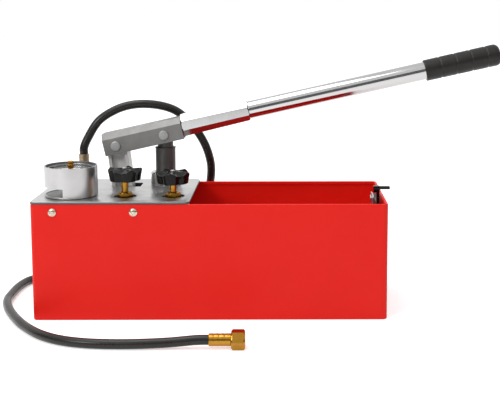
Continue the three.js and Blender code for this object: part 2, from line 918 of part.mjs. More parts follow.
addValve('left', leftValveX, leftValveOpening, Math.PI / 2);
addValve('right', rightValveX, 0, -Math.PI / 2);

// Gauge guard: a cup clamped by the gauge's hexagon, open on top, with a window low in its wall
const guardBottom = plateTop + seat;
const guardTop = guardBottom + guardHeight;
const gaugeStation = station(gaugeX, gaugeY);

function gaugeGuard() {
  const hole = stemThreadRadius + running;
  const inside = guardRadius - guardWall;
  const cup = revolveRing([
    [hole, guardBottom],
    [guardRadius, guardBottom],
    [guardRadius, guardTop],
    [inside, guardTop],
    [inside, guardBottom + guardWall],
    [hole, guardBottom + guardWall],
  ], ringSides);
  const start = THREE.MathUtils.degToRad(guardWindowStart);
  const end = THREE.MathUtils.degToRad(guardWindowEnd);
  const sector = [
    ...arc(0, 0, guardRadius + guardWall, start, end, smallSides),
    ...arc(0, 0, inside - guardWall, end, start, smallSides),
  ];
  return cut(cup, extrude(sector, guardBottom + guardWindowLow, guardBottom + guardWindowHigh));
}

add('gauge_guard', gaugeGuard(), galvanised, gaugeStation);

// Pressure gauge: bottom entry, face up, inside the guard
const stemHexBottom = guardBottom + guardWall + seat;
const stemHexTop = stemHexBottom + stemHexHeight;
const caseBottom = guardBottom + caseAboveGuardFoot;
const caseTop = caseBottom + caseHeight;
const stemTop = caseBottom + caseWall + stemSpigotReach;

function gaugeStem() {
  const post = revolve([
    [0, blockTop - portDepth + seat],
    [stemThreadRadius, blockTop - portDepth + seat],
    [stemThreadRadius, stemHexBottom + weld],
    [stemNeckRadius, stemHexBottom + weld],
    [stemNeckRadius, caseBottom - seat],
    [stemSpigotRadius, caseBottom - seat],
    [stemSpigotRadius, stemTop],
    [0, stemTop],
  ], smallSides);
  return join(post, hexagon(stemHexAcrossFlats, stemHexBottom, stemHexTop));
}

add('gauge_stem', gaugeStem(), brass, gaugeStation);

const glassSeatRadius = caseRadius - caseRimWall;
const glassLedgeRadius = glassSeatRadius - glassLedgeWidth;
const dialLedgeRadius = glassLedgeRadius - dialLedgeWidth;
const glassLedge = caseTop - glassBelowRim;
const dialLedge = caseTop - dialBelowRim;

add('gauge_case', revolveRing([
  [stemSpigotRadius + seat, caseBottom],
  [caseRadius, caseBottom],
  [caseRadius, caseTop],
  [glassSeatRadius, caseTop],
  [glassSeatRadius, glassLedge],
  [glassLedgeRadius, glassLedge],
  [glassLedgeRadius, dialLedge],
  [dialLedgeRadius, dialLedge],
  [dialLedgeRadius, caseBottom + caseWall],
  [stemSpigotRadius + seat, caseBottom + caseWall],
], gaugeSides), polishedSteel, gaugeStation);

const dialTop = dialLedge + seat + dialThickness;
const pointerTop = dialTop + running + pointerThickness;
const arborTop = pointerTop + running;

add('gauge_movement', revolve([
  [0, stemTop + seat],
  [movementRadius, stemTop + seat],
  [movementRadius, dialLedge],
  [arborRadius, dialLedge],
  [arborRadius, arborTop],
  [0, arborTop],
], smallSides), brass, gaugeStation);

add('gauge_dial', revolveRing([
  [arborRadius + running, dialLedge + seat],
  [glassLedgeRadius - seat, dialLedge + seat],
  [glassLedgeRadius - seat, dialTop],
  [arborRadius + running, dialTop],
], gaugeSides), paperWhite, gaugeStation);

// A flat hand whose hub turns about Z and whose tip points along +X
function hand(bottom, thickness, length, tail) {
  const half = pointerWidth / 2;
  const angle = Math.asin(half / pointerHubRadius);
  const outline = [
    [length, -half * pointerTipShare],
    [length, half * pointerTipShare],
    ...arc(0, 0, pointerHubRadius, angle, Math.PI - angle),
    [-tail, half],
    [-tail, -half],
    ...arc(0, 0, pointerHubRadius, Math.PI + angle, 2 * Math.PI - angle),
  ];
  const bore = roundHole(0, 0, arborRadius + running, smallSides);
  return extrude(outline, bottom, bottom + thickness, [bore]);
}

const pointer = add(
  'gauge_pointer',
  hand(dialTop + running, pointerThickness, pointerLength, pointerTail),
  pointerBlack,
  gaugeStation,
);
pointer.rotation.z = THREE.MathUtils.degToRad(pointerRestAngle);

// Drag pointer: the pointer pushes it up the scale, and the brass knob turns it back
const dragSpindleBottom = arborTop + running;
const dragPointer = add(
  'drag_pointer',
  hand(dragSpindleBottom + running, dragPointerThickness, pointerLength, dragPointerTail),
  pointerRed,
  gaugeStation,
);
dragPointer.rotation.z = THREE.MathUtils.degToRad(dragPointerRestAngle);

const glassBottom = glassLedge + seat;
const glassTop = glassBottom + glassThickness;

add('gauge_glass', revolveRing([
  [arborRadius + running, glassBottom],
  [glassSeatRadius - seat, glassBottom],
  [glassSeatRadius - seat, glassTop],
  [arborRadius + running, glassTop],
], gaugeSides), clearGlass, gaugeStation);

function dragKnob() {
  const bottom = glassTop + running;
  const top = bottom + dragKnobHeight;
  const body = revolve([
    [0, dragSpindleBottom],
    [arborRadius, dragSpindleBottom],
    [arborRadius, bottom],
    [dragKnobRadius, bottom],
    [dragKnobRadius, top - dragKnobChamfer],
    [dragKnobRadius - dragKnobChamfer, top],
    [0, top],
  ], dragKnobFlutes);
  const flutes = [];
  for (let i = 0; i < dragKnobFlutes; i += 1) {
    const flute = cylinder(dragKnobFluteRadius, bottom + dragKnobChamfer, top + overrun, fluteSides);
    flutes.push(moved(flute, dragKnobRadius, 0, 0).rotateZ(i / dragKnobFlutes * 2 * Math.PI));
  }
  return cut(body, ...flutes);
}

add('drag_knob', dragKnob(), brass, gaugeStation);

add('gauge_bezel', revolveRing([
  [caseRadius + seat, caseTop - bezelSkirtHeight],
  [caseRadius + seat + bezelWall, caseTop - bezelSkirtHeight],
  [caseRadius + seat + bezelWall, caseTop + seat + bezelLipHeight],
  [caseRadius + seat + bezelWall - bezelLipWidth, caseTop + seat + bezelLipHeight],
  [caseRadius + seat + bezelWall - bezelLipWidth, caseTop + seat],
  [caseRadius + seat, caseTop + seat],
], gaugeSides), chrome, gaugeStation);

// Outlet: a hexagon fitting with a hose nipple, and the crimped ferrule on it
const outletStation = station(outletX, outletY);
const outletHexBottom = plateTop + seat;
const outletHexTop = outletHexBottom + outletHexHeight;
const ferruleBottom = outletHexTop + seat;
const ferruleTop = ferruleBottom + ferruleLength;
const nippleTop = outletHexTop + nippleLength;

function outletFitting() {
  const post = revolve([
    [0, blockTop - portDepth + seat],
    [outletThreadRadius, blockTop - portDepth + seat],
    [outletThreadRadius, outletHexBottom + weld],
    [nippleRadius, outletHexBottom + weld],
    [nippleRadius, nippleTop],
    [0, nippleTop],
  ], smallSides);
  return join(post, hexagon(outletHexAcrossFlats, outletHexBottom, outletHexTop));
}

add('outlet_fitting', outletFitting(), brass, outletStation);

// Points of a sleeve's outside, with crimped grooves evenly along it
function crimpedSide(radius, low, high) {
  const points = [[radius, low]];
  const pitch = (high - low) / (ferruleGrooves + 1);
  for (let i = 1; i <= ferruleGrooves; i += 1) {
    const middle = low + i * pitch;
    points.push([radius, middle - ferruleGrooveWidth / 2]);
    points.push([radius - ferruleGrooveDepth, middle]);
    points.push([radius, middle + ferruleGrooveWidth / 2]);
  }
  points.push([radius, high]);
  return points;
}

add('outlet_ferrule', revolve([
  [nippleRadius + seat, ferruleBottom],
  ...crimpedSide(ferruleRadius, ferruleBottom, ferruleTop),
  [0, ferruleTop],
  [0, nippleTop + seat],
  [nippleRadius + seat, nippleTop + seat],
  [nippleRadius + seat, ferruleBottom],
], smallSides), yellowZinc, outletStation);

// Hose: one free length from the outlet ferrule to the end ferrule on the floor
const hoseRest = hoseRadius + seat;
const hoseStart = [outletX, outletY, ferruleTop + seat];
const hoseEnd = [6, -191, unionAcrossFlats / 2];
const hoseRoute = [
  hoseStart,
  [-188.8, 55.2, 208],
  [-182.5, 58, 223.3],
  [-167.9, 61, 245.8],
  [-146.5, 65, 260.2],
  [-125.4, 68, 267.4],
  [-101.3, 71, 269.1],
  [-76.2, 74, 265.4],
  [-58.8, 77, 258.3],
  [-41.7, 80, 243.8],
  [-26.9, 83, 224.2],
  [-16.5, 87, 202.9],
  [-10.6, 92, 176.7],
  [-12.3, 97, 151],
  [-20, 101, 118],
  [-35, 103, 82],
  [-60, 104.5, 47],
  [-95, 105.5, 22],
  [-136, 106, 9],
  [-182, 106.5, hoseRest],
  [-228, 106.5, hoseRest],
  [-260, 99.5, hoseRest],
  [-279, 80, hoseRest],
  [-286, 52, hoseRest],
  [-287, 13, hoseRest],
  [-284, -18, hoseRest],
  [-275, -47, hoseRest],
  [-257, -85, hoseRest],
  [-233, -124, hoseRest],
  [-204, -158, hoseRest],
  [-175, -178, hoseRest],
  [-141, -189, hoseRest],
  [-96, -192.5, hoseRest],
  [-44, -192, 8],
  [-8, -191, 10.8],
  hoseEnd,
];

function hose() {
  const points = hoseRoute.map((point) => new THREE.Vector3(...point));
  const extrudePath = new THREE.CatmullRomCurve3(points, false, 'centripetal');
  const section = flatShape(roundHole(0, 0, hoseRadius, hoseSides));
  return new THREE.ExtrudeGeometry(section, { steps: hoseSteps, bevelEnabled: false, extrudePath });
}

add('hose', hose(), blackRubber);

// End ferrule and union nut: the nut turns on the ferrule's stem and is held by its nose
const [endX, endY, endZ] = hoseEnd;
const endStation = station(endX + seat, endY, endZ);
endStation.rotation.y = Math.PI / 2;
const nutStart = endFerruleLength + running;
const noseBottom = nutStart + unionShoulder + running;
const noseTop = noseBottom + endNoseLength;

add('hose_end_ferrule', revolve([
  [0, 0],
  ...crimpedSide(endFerruleRadius, 0, endFerruleLength),
  [endStemRadius, endFerruleLength],
  [endStemRadius, noseBottom],
  [endNoseRadius, noseBottom],
  [endStemRadius, noseTop],
  [0, noseTop],
], smallSides), yellowZinc, endStation);

function unionNut() {
  const end = nutStart + unionLength;
  return cut(
    hexagon(unionAcrossFlats, nutStart, end).rotateZ(Math.PI / 2),
    cylinder(unionBoreRadius, nutStart + unionShoulder, end + overrun, mediumSides),
    cylinder(endStemRadius + running, nutStart - overrun, end, smallSides),
  );
}

add('union_nut', unionNut(), brass, endStation);

// A headed pin along +Y with a groove for a clip: its head's seat is at y = 0
function headedPin(radius, length) {
  const groove = length + seat;
  const tail = groove + clipThickness + 2 * seat;
  return revolve([
    [0, -pinHeadHeight],
    [pinHeadRadius * pinFaceShare, -pinHeadHeight],
    [pinHeadRadius, -pinHeadHeight * pinRimShare],
    [pinHeadRadius, 0],
    [radius, 0],
    [radius, groove],
    [radius - pinGrooveDepth, groove],
    [radius - pinGrooveDepth, tail],
    [radius, tail],
    [radius, length + pinTail],
    [0, length + pinTail],
  ], smallSides).rotateX(-Math.PI / 2);
}

// A spring clip that grips the pin's groove, open on one side
function pinClip(radius) {
  const inner = radius - pinGrooveDepth + seat;
  const outer = radius + clipWidth - pinGrooveDepth;
  const innerAngle = Math.asin(clipGap / 2 / inner);
  const outerAngle = Math.asin(clipGap / 2 / outer);
  const outline = [
    ...arc(0, 0, outer, outerAngle, 2 * Math.PI - outerAngle, smallSides),
    ...arc(0, 0, inner, 2 * Math.PI - innerAngle, innerAngle, smallSides),
  ];
  return extrude(outline, 0, clipThickness).rotateX(-Math.PI / 2);
}

function addPin(pinName, clipName, radius, length, x, y, z, group) {
  const place = station(x, y - seat, z, group);
  add(pinName, headedPin(radius, length), polishedSteel, place);
  const clip = add(clipName, pinClip(radius), darkSteel, place);
  clip.position.y = length + 2 * seat;
}

// Link bracket: hangs under the plate, with an ear each side of the link's foot
const earInside = openingHalfWidth + seat;
const earOutside = earInside + earThickness;

function linkBracket() {
  const top = plateBottom - seat;
  const bottom = top - bracketWeb;
  const [x0, x1] = [openingMiddle - bracketLength / 2, openingMiddle + bracketLength / 2];
  const [y0, y1] = [leverY - bracketWidth / 2, leverY + bracketWidth / 2];
  const outline = roundedRectangle(x0, y0, x1, y1, even(openingCornerRadius));
  const earOutline = [
    [footX + earRadius, top - bracketWeb / 2],
    [footX - earRadius, top - bracketWeb / 2],
    ...arc(footX, footZ, earRadius, Math.PI, 2 * Math.PI, smallSides / 2),
  ];
  const ear = (front, back) => extrudeY(earOutline, leverY + front, leverY + back);
  const web = extrude(outline, bottom, top, [linkOpening]);
  const bore = cylinder(footPinRadius + seat, -earOutside - overrun, earOutside + overrun, smallSides);
  return cut(
    join(web, ear(earInside, earOutside), ear(-earOutside, -earInside)),
    moved(bore.rotateX(Math.PI / 2), footX, leverY, footZ),
  );
}

add('link_bracket', linkBracket(), darkSteel);
addPin('link_foot_pin', 'link_foot_clip', footPinRadius, 2 * earOutside + 2 * seat,
  footX, leverY - earOutside, footZ, part);

// Link: an H-section strut from the foot pin to the lever's rear pin
const linkStation = station(linkTopX, leverY, linkTopZ);
linkStation.rotation.y = -linkLean;

function linkStrut() {
  const half = linkWidth / 2;
  const slotX = footSlotShift;
  const slotZ = -linkLength - footSlotDrop;
  const slotHalfLength = footTravel + footPinRadius + running;
  const slotHalfHeight = footRise + footPinRadius + running;
  const slab = (outline) => extrudeY(outline, -linkDepth / 2, linkDepth / 2);
  const strut = [
    [-half, -linkEyeRadius],
    [-half, slotZ],
    [half, slotZ],
    [half, -linkEyeRadius],
    ...arc(0, 0, linkEyeRadius, 0, Math.PI, roundSides / 2),
  ];
  const foot = roundedRectangle(
    slotX - slotHalfLength - footWall,
    slotZ - slotHalfHeight - footWall,
    slotX + slotHalfLength + footWall,
    slotZ + slotHalfHeight + footWall,
    even(footWall),
  );
  const slot = roundedRectangle(
    slotX - slotHalfLength,
    slotZ - slotHalfHeight,
    slotX + slotHalfLength,
    slotZ + slotHalfHeight,
    even(footPinRadius + running),
  );
  const pocket = roundedRectangle(
    -half + linkFlange,
    slotZ + slotHalfHeight + footWall,
    half - linkFlange,
    -linkPocketMargin,
    even(linkFlange / 2),
  );
  const web = linkDepth / 2 - linkPocketDepth;
  const past = linkDepth / 2 + overrun;
  const bore = cylinder(leverPinRadius + running, -past, past, smallSides).rotateX(Math.PI / 2);
  return cut(
    join(slab(strut), slab(foot)),
    extrudeY(slot, -past, past),
    extrudeY(pocket, web, past),
    extrudeY(pocket, -past, -web),
    bore,
  );
}

add('link', linkStrut(), castMetal, linkStation);

// Lever: turned up from level about the plunger pin, which is its own origin
const leverStation = station(plungerX, leverY, pivotZ);
leverStation.rotation.y = -leverTilt;
const headStart = -pinSpacing - headLeft;
const channelHalf = linkDepth / 2 + channelSide;
const channelRoof = headAbovePins - headRoof;
const channelEnd = headRight - headEndBlock;

function leverHead() {
  const half = headWidth / 2;
  const section = [
    [-half, -headBelowPins],
    [half, -headBelowPins],
    [half, headAbovePins - headChamfer],
    [half - headChamfer, headAbovePins],
    [headChamfer - half, headAbovePins],
    [-half, headAbovePins - headChamfer],
  ];
  const across = (radius, front, back, x, z) =>
    moved(cylinder(radius, -back, -front, smallSides).rotateX(Math.PI / 2), x, 0, z);
  const past = half + overrun;
  const bossInside = tongueRadius + channelSide;
  const under = -headBelowPins - overrun;
  const channel = box(headStart - overrun, -channelHalf, under, channelEnd, channelHalf, channelRoof);
  const spigotEnd = headRight - socketSpigotLength - 2 * seat;
  const spigotBore = cylinder(socketSpigotRadius + seat, spigotEnd, headRight + overrun, mediumSides);
  const shell = cut(
    extrudeX(section, headStart, headRight),
    channel,
    moved(spigotBore.rotateY(Math.PI / 2), 0, 0, socketAxisAbovePins),
  );
  return cut(
    join(
      shell,
      across(tongueBossRadius, bossInside, channelHalf + weld, 0, 0),
      across(tongueBossRadius, -channelHalf - weld, -bossInside, 0, 0),
    ),
    across(leverPinRadius + running, -past, past, 0, 0),
    across(leverPinRadius + running, -past, past, -pinSpacing, 0),
  );
}

add('lever_head', leverHead(), greyPaint, leverStation);

const pinLength = headWidth + 2 * seat;
addPin('link_top_pin', 'link_top_clip', leverPinRadius, pinLength,
  -pinSpacing, -headWidth / 2, 0, leverStation);
addPin('plunger_pin', 'plunger_clip', leverPinRadius, pinLength, 0, -headWidth / 2, 0, leverStation);

// Socket: a tapered octagon bar, spigoted into the head and bored for the tube
const barStation = station(headRight + seat, 0, socketAxisAbovePins, leverStation);
barStation.rotation.y = Math.PI / 2;

function leverSocket() {
  const corner = 2 * Math.cos(Math.PI / 8);
  const bar = new THREE.CylinderGeometry(
    socketAcrossFlatsRight / corner,
    socketAcrossFlatsLeft / corner,
    socketLength,
    8,
  );
  bar.rotateX(Math.PI / 2).translate(0, 0, socketLength / 2).rotateZ(Math.PI / 8);
  const boreBottom = socketLength - socketBoreDepth;
  return cut(
    join(bar, cylinder(socketSpigotRadius, -socketSpigotLength, weld, mediumSides)),
    cylinder(tubeSpigotRadius + seat, boreBottom, socketLength + overrun, mediumSides),
  );
}

add('lever_socket', leverSocket(), chrome, barStation);

const tubeShoulder = socketLength + seat;
const tubeEnd = tubeShoulder + tubeLength;

add('lever_tube', revolveRing([
  [tubeSpigotRadius - tubeWall, socketLength - socketBoreDepth + seat],
  [tubeSpigotRadius, socketLength - socketBoreDepth + seat],
  [tubeSpigotRadius, tubeShoulder],
  [tubeRadius, tubeShoulder],
  [tubeRadius, tubeEnd],
  [tubeRadius - tubeWall, tubeEnd],
  [tubeRadius - tubeWall, tubeShoulder + tubeWall],
  [tubeSpigotRadius - tubeWall, tubeShoulder + tubeWall],
], roundSides), chrome, barStation);

function grip() {
  const end = tubeEnd + gripEnd;
  const start = end - gripLength;
  const profile = [
    [tubeRadius + seat, start],
    [gripRadius - gripGrooveDepth, start],
    [gripRadius, start + gripGrooveDepth],
  ];
  for (let i = 1; i <= gripGrooves; i += 1) {
    const middle = start + i * gripGrooveSpacing;
    profile.push([gripRadius, middle - gripGrooveWidth]);
    profile.push([gripRadius - gripGrooveDepth, middle - gripGrooveWidth / 2]);
    profile.push([gripRadius - gripGrooveDepth, middle + gripGrooveWidth / 2]);
    profile.push([gripRadius, middle + gripGrooveWidth]);
  }
  profile.push(
    [gripFlareRadius, end - 2 * gripEndRounding],
    ...arc(gripFlareRadius - gripEndRounding, end - gripEndRounding, gripEndRounding, 0, Math.PI / 2),
    [0, end],
    [0, tubeEnd + seat],
    [tubeRadius + seat, tubeEnd + seat],
    [tubeRadius + seat, start],
  );
  return revolve(profile, mediumSides);
}

add('grip', grip(), blackRubber, barStation);

// Plunger: a turned rod whose narrower top takes the lever's front pin
const shoulderZ = pivotZ - plungerShoulderBelowPin;

function plunger() {
  const bottom = suctionTop + suctionSpigotHeight + plungerRoom;
  const top = pivotZ + tongueRadius;
  const rod = revolve([
    [0, bottom],
    [plungerRadius, bottom],
    [plungerRadius, shoulderZ - plungerLipHeight],
    [plungerRadius + plungerLipReach, shoulderZ - plungerLipHeight],
    [plungerRadius + plungerLipReach, shoulderZ],
    [tongueRadius, shoulderZ],
    [tongueRadius, top],
    [0, top],
  ]);
  const crown = [
    [-tongueRadius - overrun, pivotZ],
    ...arc(0, pivotZ, tongueRadius, Math.PI, 0, roundSides / 2),
    [tongueRadius + overrun, pivotZ],
    [tongueRadius + overrun, top + overrun],
    [-tongueRadius - overrun, top + overrun],
  ];
  const past = tongueRadius + overrun;
  const bore = cylinder(leverPinRadius + running, -past, past, smallSides).rotateX(Math.PI / 2);
  return cut(rod, extrudeY(crown, -past, past), moved(bore, 0, 0, pivotZ));
}

add('plunger', plunger(), darkSteel, pumpStation);

// Lever catch: a hook that swings up over the lowered tube, in a bracket inside the right wall
const wallEarRight = wallInside - seat;
const wallEarLeft = wallEarRight - catchEarThickness;
const hookRight = wallEarLeft - catchPlay - catchSpacerLength - catchPlay;
const hookLeft = hookRight - hookThickness;
const freeEarRight = hookLeft - catchPlay;
const freeEarLeft = freeEarRight - catchEarThickness;
const catchStation = station(0, catchY, catchZ);

function catchBracket() {
  const low = -catchEarBelow;
  const radii = [0, 0, catchPinHeadRadius, catchPinHeadRadius];
  const outline = roundedRectangle(-catchEarFront, low, catchEarBack, catchEarAbove, radii);
  const ear = (left, right) => extrudeX(outline, left, right);
  const hole = (radius, left) =>
    cylinder(radius, left - overrun, wallEarRight + overrun, smallSides).rotateY(Math.PI / 2);
  const tools = [hole(catchPinRadius + seat, freeEarLeft)];
  for (const side of [-1, 1]) {
    const screwHole = hole(screwShankRadius + seat, wallEarLeft);
    tools.push(moved(screwHole, 0, side * catchScrewSpread, -catchScrewDrop));
  }
  return cut(
    join(
      ear(freeEarLeft, freeEarRight),
      ear(wallEarLeft, wallEarRight),
      box(freeEarLeft, -catchEarFront, low, wallEarRight, catchEarBack, low + catchEarThickness),
    ),
    ...tools,
  );
}

add('catch_bracket', catchBracket(), galvanised, catchStation);

function catchPin() {
  const start = freeEarLeft - seat;
  const spacer = hookRight + catchPlay;
  return revolve([
    [0, start - catchPinHeadHeight],
    [catchPinHeadRadius, start - catchPinHeadHeight],
    [catchPinHeadRadius, start],
    [catchPinRadius, start],
    [catchPinRadius, spacer],
    [catchPinHeadRadius, spacer],
    [catchPinHeadRadius, spacer + catchSpacerLength],
    [catchPinRadius, spacer + catchSpacerLength],
    [catchPinRadius, wallEarRight],
    [0, wallEarRight],
  ], smallSides).rotateY(Math.PI / 2);
}

add('catch_pin', catchPin(), polishedSteel, catchStation);

function catchHook() {
  const outline = [
    ...arc(0, 0, hookEyeRadius, -Math.asin(hookArmBelow / hookEyeRadius), Math.PI / 2, smallSides / 2),
    [-hookEyeRadius, hookArmAbove],
    [hookNoseWidth - hookReach, hookArmAbove],
    [hookNoseWidth - hookReach, hookNoseRise],
    [-hookReach, hookNoseRise],
    [-hookReach, hookArmAbove - hookNoseWidth],
    [hookNoseWidth - hookReach, -hookArmBelow],
  ];
  const tabLow = hookNoseRise - hookTabDrop;
  const tabRight = hookRight + hookTabReach;
  const tab = box(hookLeft, -hookReach, tabLow, tabRight, hookNoseWidth - hookReach, hookNoseRise);
  const bore = cylinder(catchPinRadius + running, hookLeft - overrun, hookRight + overrun, smallSides);
  return cut(join(extrudeX(outline, hookLeft, hookRight), tab), bore.rotateY(Math.PI / 2));
}

add('catch_hook', catchHook(), blackPlastic, catchStation);

function addCatchScrew(name, side) {
  const screw = add(name, panScrew(catchScrewShankLength), yellowZinc);
  const y = catchY + side * catchScrewSpread;
  screw.position.set(tankLength / 2 + seat, y, catchZ - catchScrewDrop);
  screw.rotation.y = Math.PI / 2;
}

addCatchScrew('catch_screw_front', -1);
addCatchScrew('catch_screw_rear', 1);

export default part;
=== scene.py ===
# %% [markdown]
# # Hydrostatic test pump
#
# A plumber's hand pump: an open red tank with a zinc plated head plate, a lever that works a plunger,
# two shut-off valves, a gauge in a guard ring and a rubber hose with a brass union nut.
# The engineering model gives every piece its place. This file gives each piece the shape and the finish
# that the eye expects: rounded edges, turned grooves, chamfered hexagons and real surfaces.

# %% The frame that every tool shares
import json
import math

import bmesh
import bpy
import numpy as np
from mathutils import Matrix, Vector


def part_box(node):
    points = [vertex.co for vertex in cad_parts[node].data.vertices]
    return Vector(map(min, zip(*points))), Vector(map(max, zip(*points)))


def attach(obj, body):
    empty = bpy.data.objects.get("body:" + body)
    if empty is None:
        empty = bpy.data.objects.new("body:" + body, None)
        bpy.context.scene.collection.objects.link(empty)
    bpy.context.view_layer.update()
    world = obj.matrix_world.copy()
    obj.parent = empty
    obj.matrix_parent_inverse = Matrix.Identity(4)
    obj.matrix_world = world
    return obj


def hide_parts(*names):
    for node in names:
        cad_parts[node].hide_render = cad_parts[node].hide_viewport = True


MM = 0.001

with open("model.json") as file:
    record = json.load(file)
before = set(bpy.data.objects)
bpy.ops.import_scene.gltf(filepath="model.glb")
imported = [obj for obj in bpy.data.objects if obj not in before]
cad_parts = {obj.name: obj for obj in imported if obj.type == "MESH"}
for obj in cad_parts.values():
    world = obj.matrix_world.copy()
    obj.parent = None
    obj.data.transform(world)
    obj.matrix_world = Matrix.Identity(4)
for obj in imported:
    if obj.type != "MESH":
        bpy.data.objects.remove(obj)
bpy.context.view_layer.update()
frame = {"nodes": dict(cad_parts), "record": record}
slot_of = {part["node"]: part["material_slot"] for part in frame["record"]["subparts"]}
groups = frame["record"]["behaviour"]["bodies"]
body_of = {node: body for body, nodes in groups.items() for node in nodes}
print("nodes:", len(slot_of), "bodies:", len(groups))


def linked(name, data):
    """An object of this name that holds the data and stands in the scene."""
    thing = bpy.data.objects.new(name, data)
    bpy.context.scene.collection.objects.link(thing)
    return thing


# %% [markdown]
# ## Camera
#
# The photograph was taken from a little above the tank with a long lens, so its upright edges stay nearly
# parallel. The place, the tilt and the lens below came from matching the tank's corners, the valves and
# the ends of the lever to where they lie in the photograph. A lens shift keeps the framing without
# tilting the camera any further.

# %% Camera
camera_data = bpy.data.cameras.new("photo_camera")
camera_data.sensor_width = 36
camera_data.lens = 68.68
camera_data.shift_x = -0.0792
camera_data.shift_y = -0.15
camera_data.clip_end = 50
camera = linked("photo_camera", camera_data)
camera.location = (0.09577, -1.29539, 0.40377)
camera.rotation_euler = (math.pi / 2 - 0.1204, 0, -0.0067)
bpy.context.scene.camera = camera

# %% [markdown]
# ## From points to a piece
#
# Most pieces of a pump are turned or swept, so one helper makes them all: it takes rings of points and
# joins each ring to the next. Modelling by hand or with the Spin tool would also do, but a grid of points
# worked out as whole arrays is exact, quick and easy to change. Corners are eased before the rings are
# made, because a real edge always has a small radius that catches the light.

# %% Rounding corners
def eased(points, radius, steps=4, closed=False):
    """The same line with its corners rounded.

    Round a corner P the new points are (1-t)(1-t) A + 2t(1-t) P + t t B, where A and B lie on the two
    sides at the given radius from P, or at 0.45 of the side where that is less.
    """
    points = np.asarray(points, float)
    before = np.roll(points, 1, 0) - points
    after = np.roll(points, -1, 0) - points
    before_length = np.linalg.norm(before, axis=1, keepdims=True)
    after_length = np.linalg.norm(after, axis=1, keepdims=True)
    reach = np.broadcast_to(np.asarray(radius, float).reshape(-1, 1), (len(points), 1))
    start = points + before / before_length * np.minimum(reach, 0.45 * before_length)
    end = points + after / after_length * np.minimum(reach, 0.45 * after_length)
    t = np.linspace(0, 1, steps + 1)[None, :, None]
    curve = (1 - t) ** 2 * start[:, None] + 2 * t * (1 - t) * points[:, None] + t ** 2 * end[:, None]
    if closed:
        return curve.reshape(-1, points.shape[1])
    return np.vstack([points[:1], curve[1:-1].reshape(-1, points.shape[1]), points[-1:]])


# %% Rings into a mesh
def mesh_of(name, points, faces, chart=None):
    """A mesh from points in mm, lists of corners and, where it has one, its map in mm."""
    mesh = bpy.data.meshes.new(name)
    mesh.from_pydata((points * MM).tolist(), [], faces)
    if chart is not None:
        layer = mesh.uv_layers.new(name="skin")
        layer.data.foreach_set("uv", (chart * MM).astype(np.float32))
    return mesh


def ring_faces(grid, steps):
    """Quads between rings with their map, and the map's distances along and across.

    Every point joins the next one in its ring and the same one in the next ring. The map holds the distance
    round and along the skin.
    """
    rows, columns = grid.shape[:2]
    row, column = np.meshgrid(np.arange(steps), np.arange(columns), indexing="ij")
    above = (row + 1) % rows
    right = (column + 1) % columns
    low_row, high_row = row * columns, above * columns
    corners = [low_row + column, low_row + right, high_row + right, high_row + column]
    gaps = np.linalg.norm(np.diff(grid[:, 0], axis=0, append=grid[:1, 0]), axis=1)
    along = np.concatenate([[0], np.cumsum(gaps)])
    share = np.linalg.norm(np.roll(grid, -1, 1) - grid, axis=2).sum(1).max() / columns
    u = np.stack([column, column + 1, column + 1, column], -1) * share
    v = np.stack([along[row], along[row], along[row + 1], along[row + 1]], -1)
    return np.stack(corners, -1).reshape(-1, 4), np.stack([u, v], -1).reshape(-1, 4, 2), along, share


def skin(name, grid, closed=False, crease=35):
    """A closed mesh over rings of points, given as rows by columns by xyz in millimetres.

    A closed stack joins its last ring to its first. An open one ends in a fan of triangles to the middle of
    each end ring.
    """
    rows, columns = grid.shape[:2]
    points = grid.reshape(-1, 3)
    quads, quad_map, along, share = ring_faces(grid, rows if closed else rows - 1)
    fans = np.zeros((0, 3), int)
    fan_map = np.zeros((0, 3, 2))
    if not closed:
        points = np.vstack([points, grid[[0, -1]].mean(1)])
        here = np.arange(columns)
        there = np.roll(here, -1)
        low = np.stack([np.full(columns, rows * columns), there, here], -1)
        last = (rows - 1) * columns
        high = np.stack([np.full(columns, rows * columns + 1), last + here, last + there], -1)
        fans = np.vstack([low, high])
        edge = np.stack([here + 0.5, here + 1, here], -1) * share
        low_map = np.stack([edge, np.zeros_like(edge)], -1)
        high_map = np.stack([edge[:, [0, 2, 1]], np.full_like(edge, along[rows - 1])], -1)
        reach = np.linalg.norm(grid[[0, -1], 0] - grid[[0, -1]].mean(1), axis=1)
        low_map[:, 0, 1] -= reach[0]
        high_map[:, 0, 1] += reach[1]
        fan_map = np.vstack([low_map, high_map])

    def volume(faces):
        a, b, c = points[faces[:, 0]], points[faces[:, 1]], points[faces[:, 2]]
        return np.einsum("ij,ij->", a, np.cross(b, c))

    if volume(quads[:, :3]) + volume(quads[:, [0, 2, 3]]) + volume(fans) < 0:
        quads, quad_map = quads[:, ::-1], quad_map[:, ::-1]
        fans, fan_map = fans[:, ::-1], fan_map[:, ::-1]
    flat_map = np.concatenate([quad_map.ravel(), fan_map.ravel()])
    mesh = mesh_of(name, points, quads.tolist() + fans.tolist(), flat_map)
    mesh.shade_smooth()
    mesh.set_sharp_from_angle(angle=math.radians(crease))
    piece = linked(name, mesh)
    # Large faces rule the shading normals, so that a flat next to a small radius looks flat.
    piece.modifiers.new("level_flats", "WEIGHTED_NORMAL").keep_sharp = True
    return piece


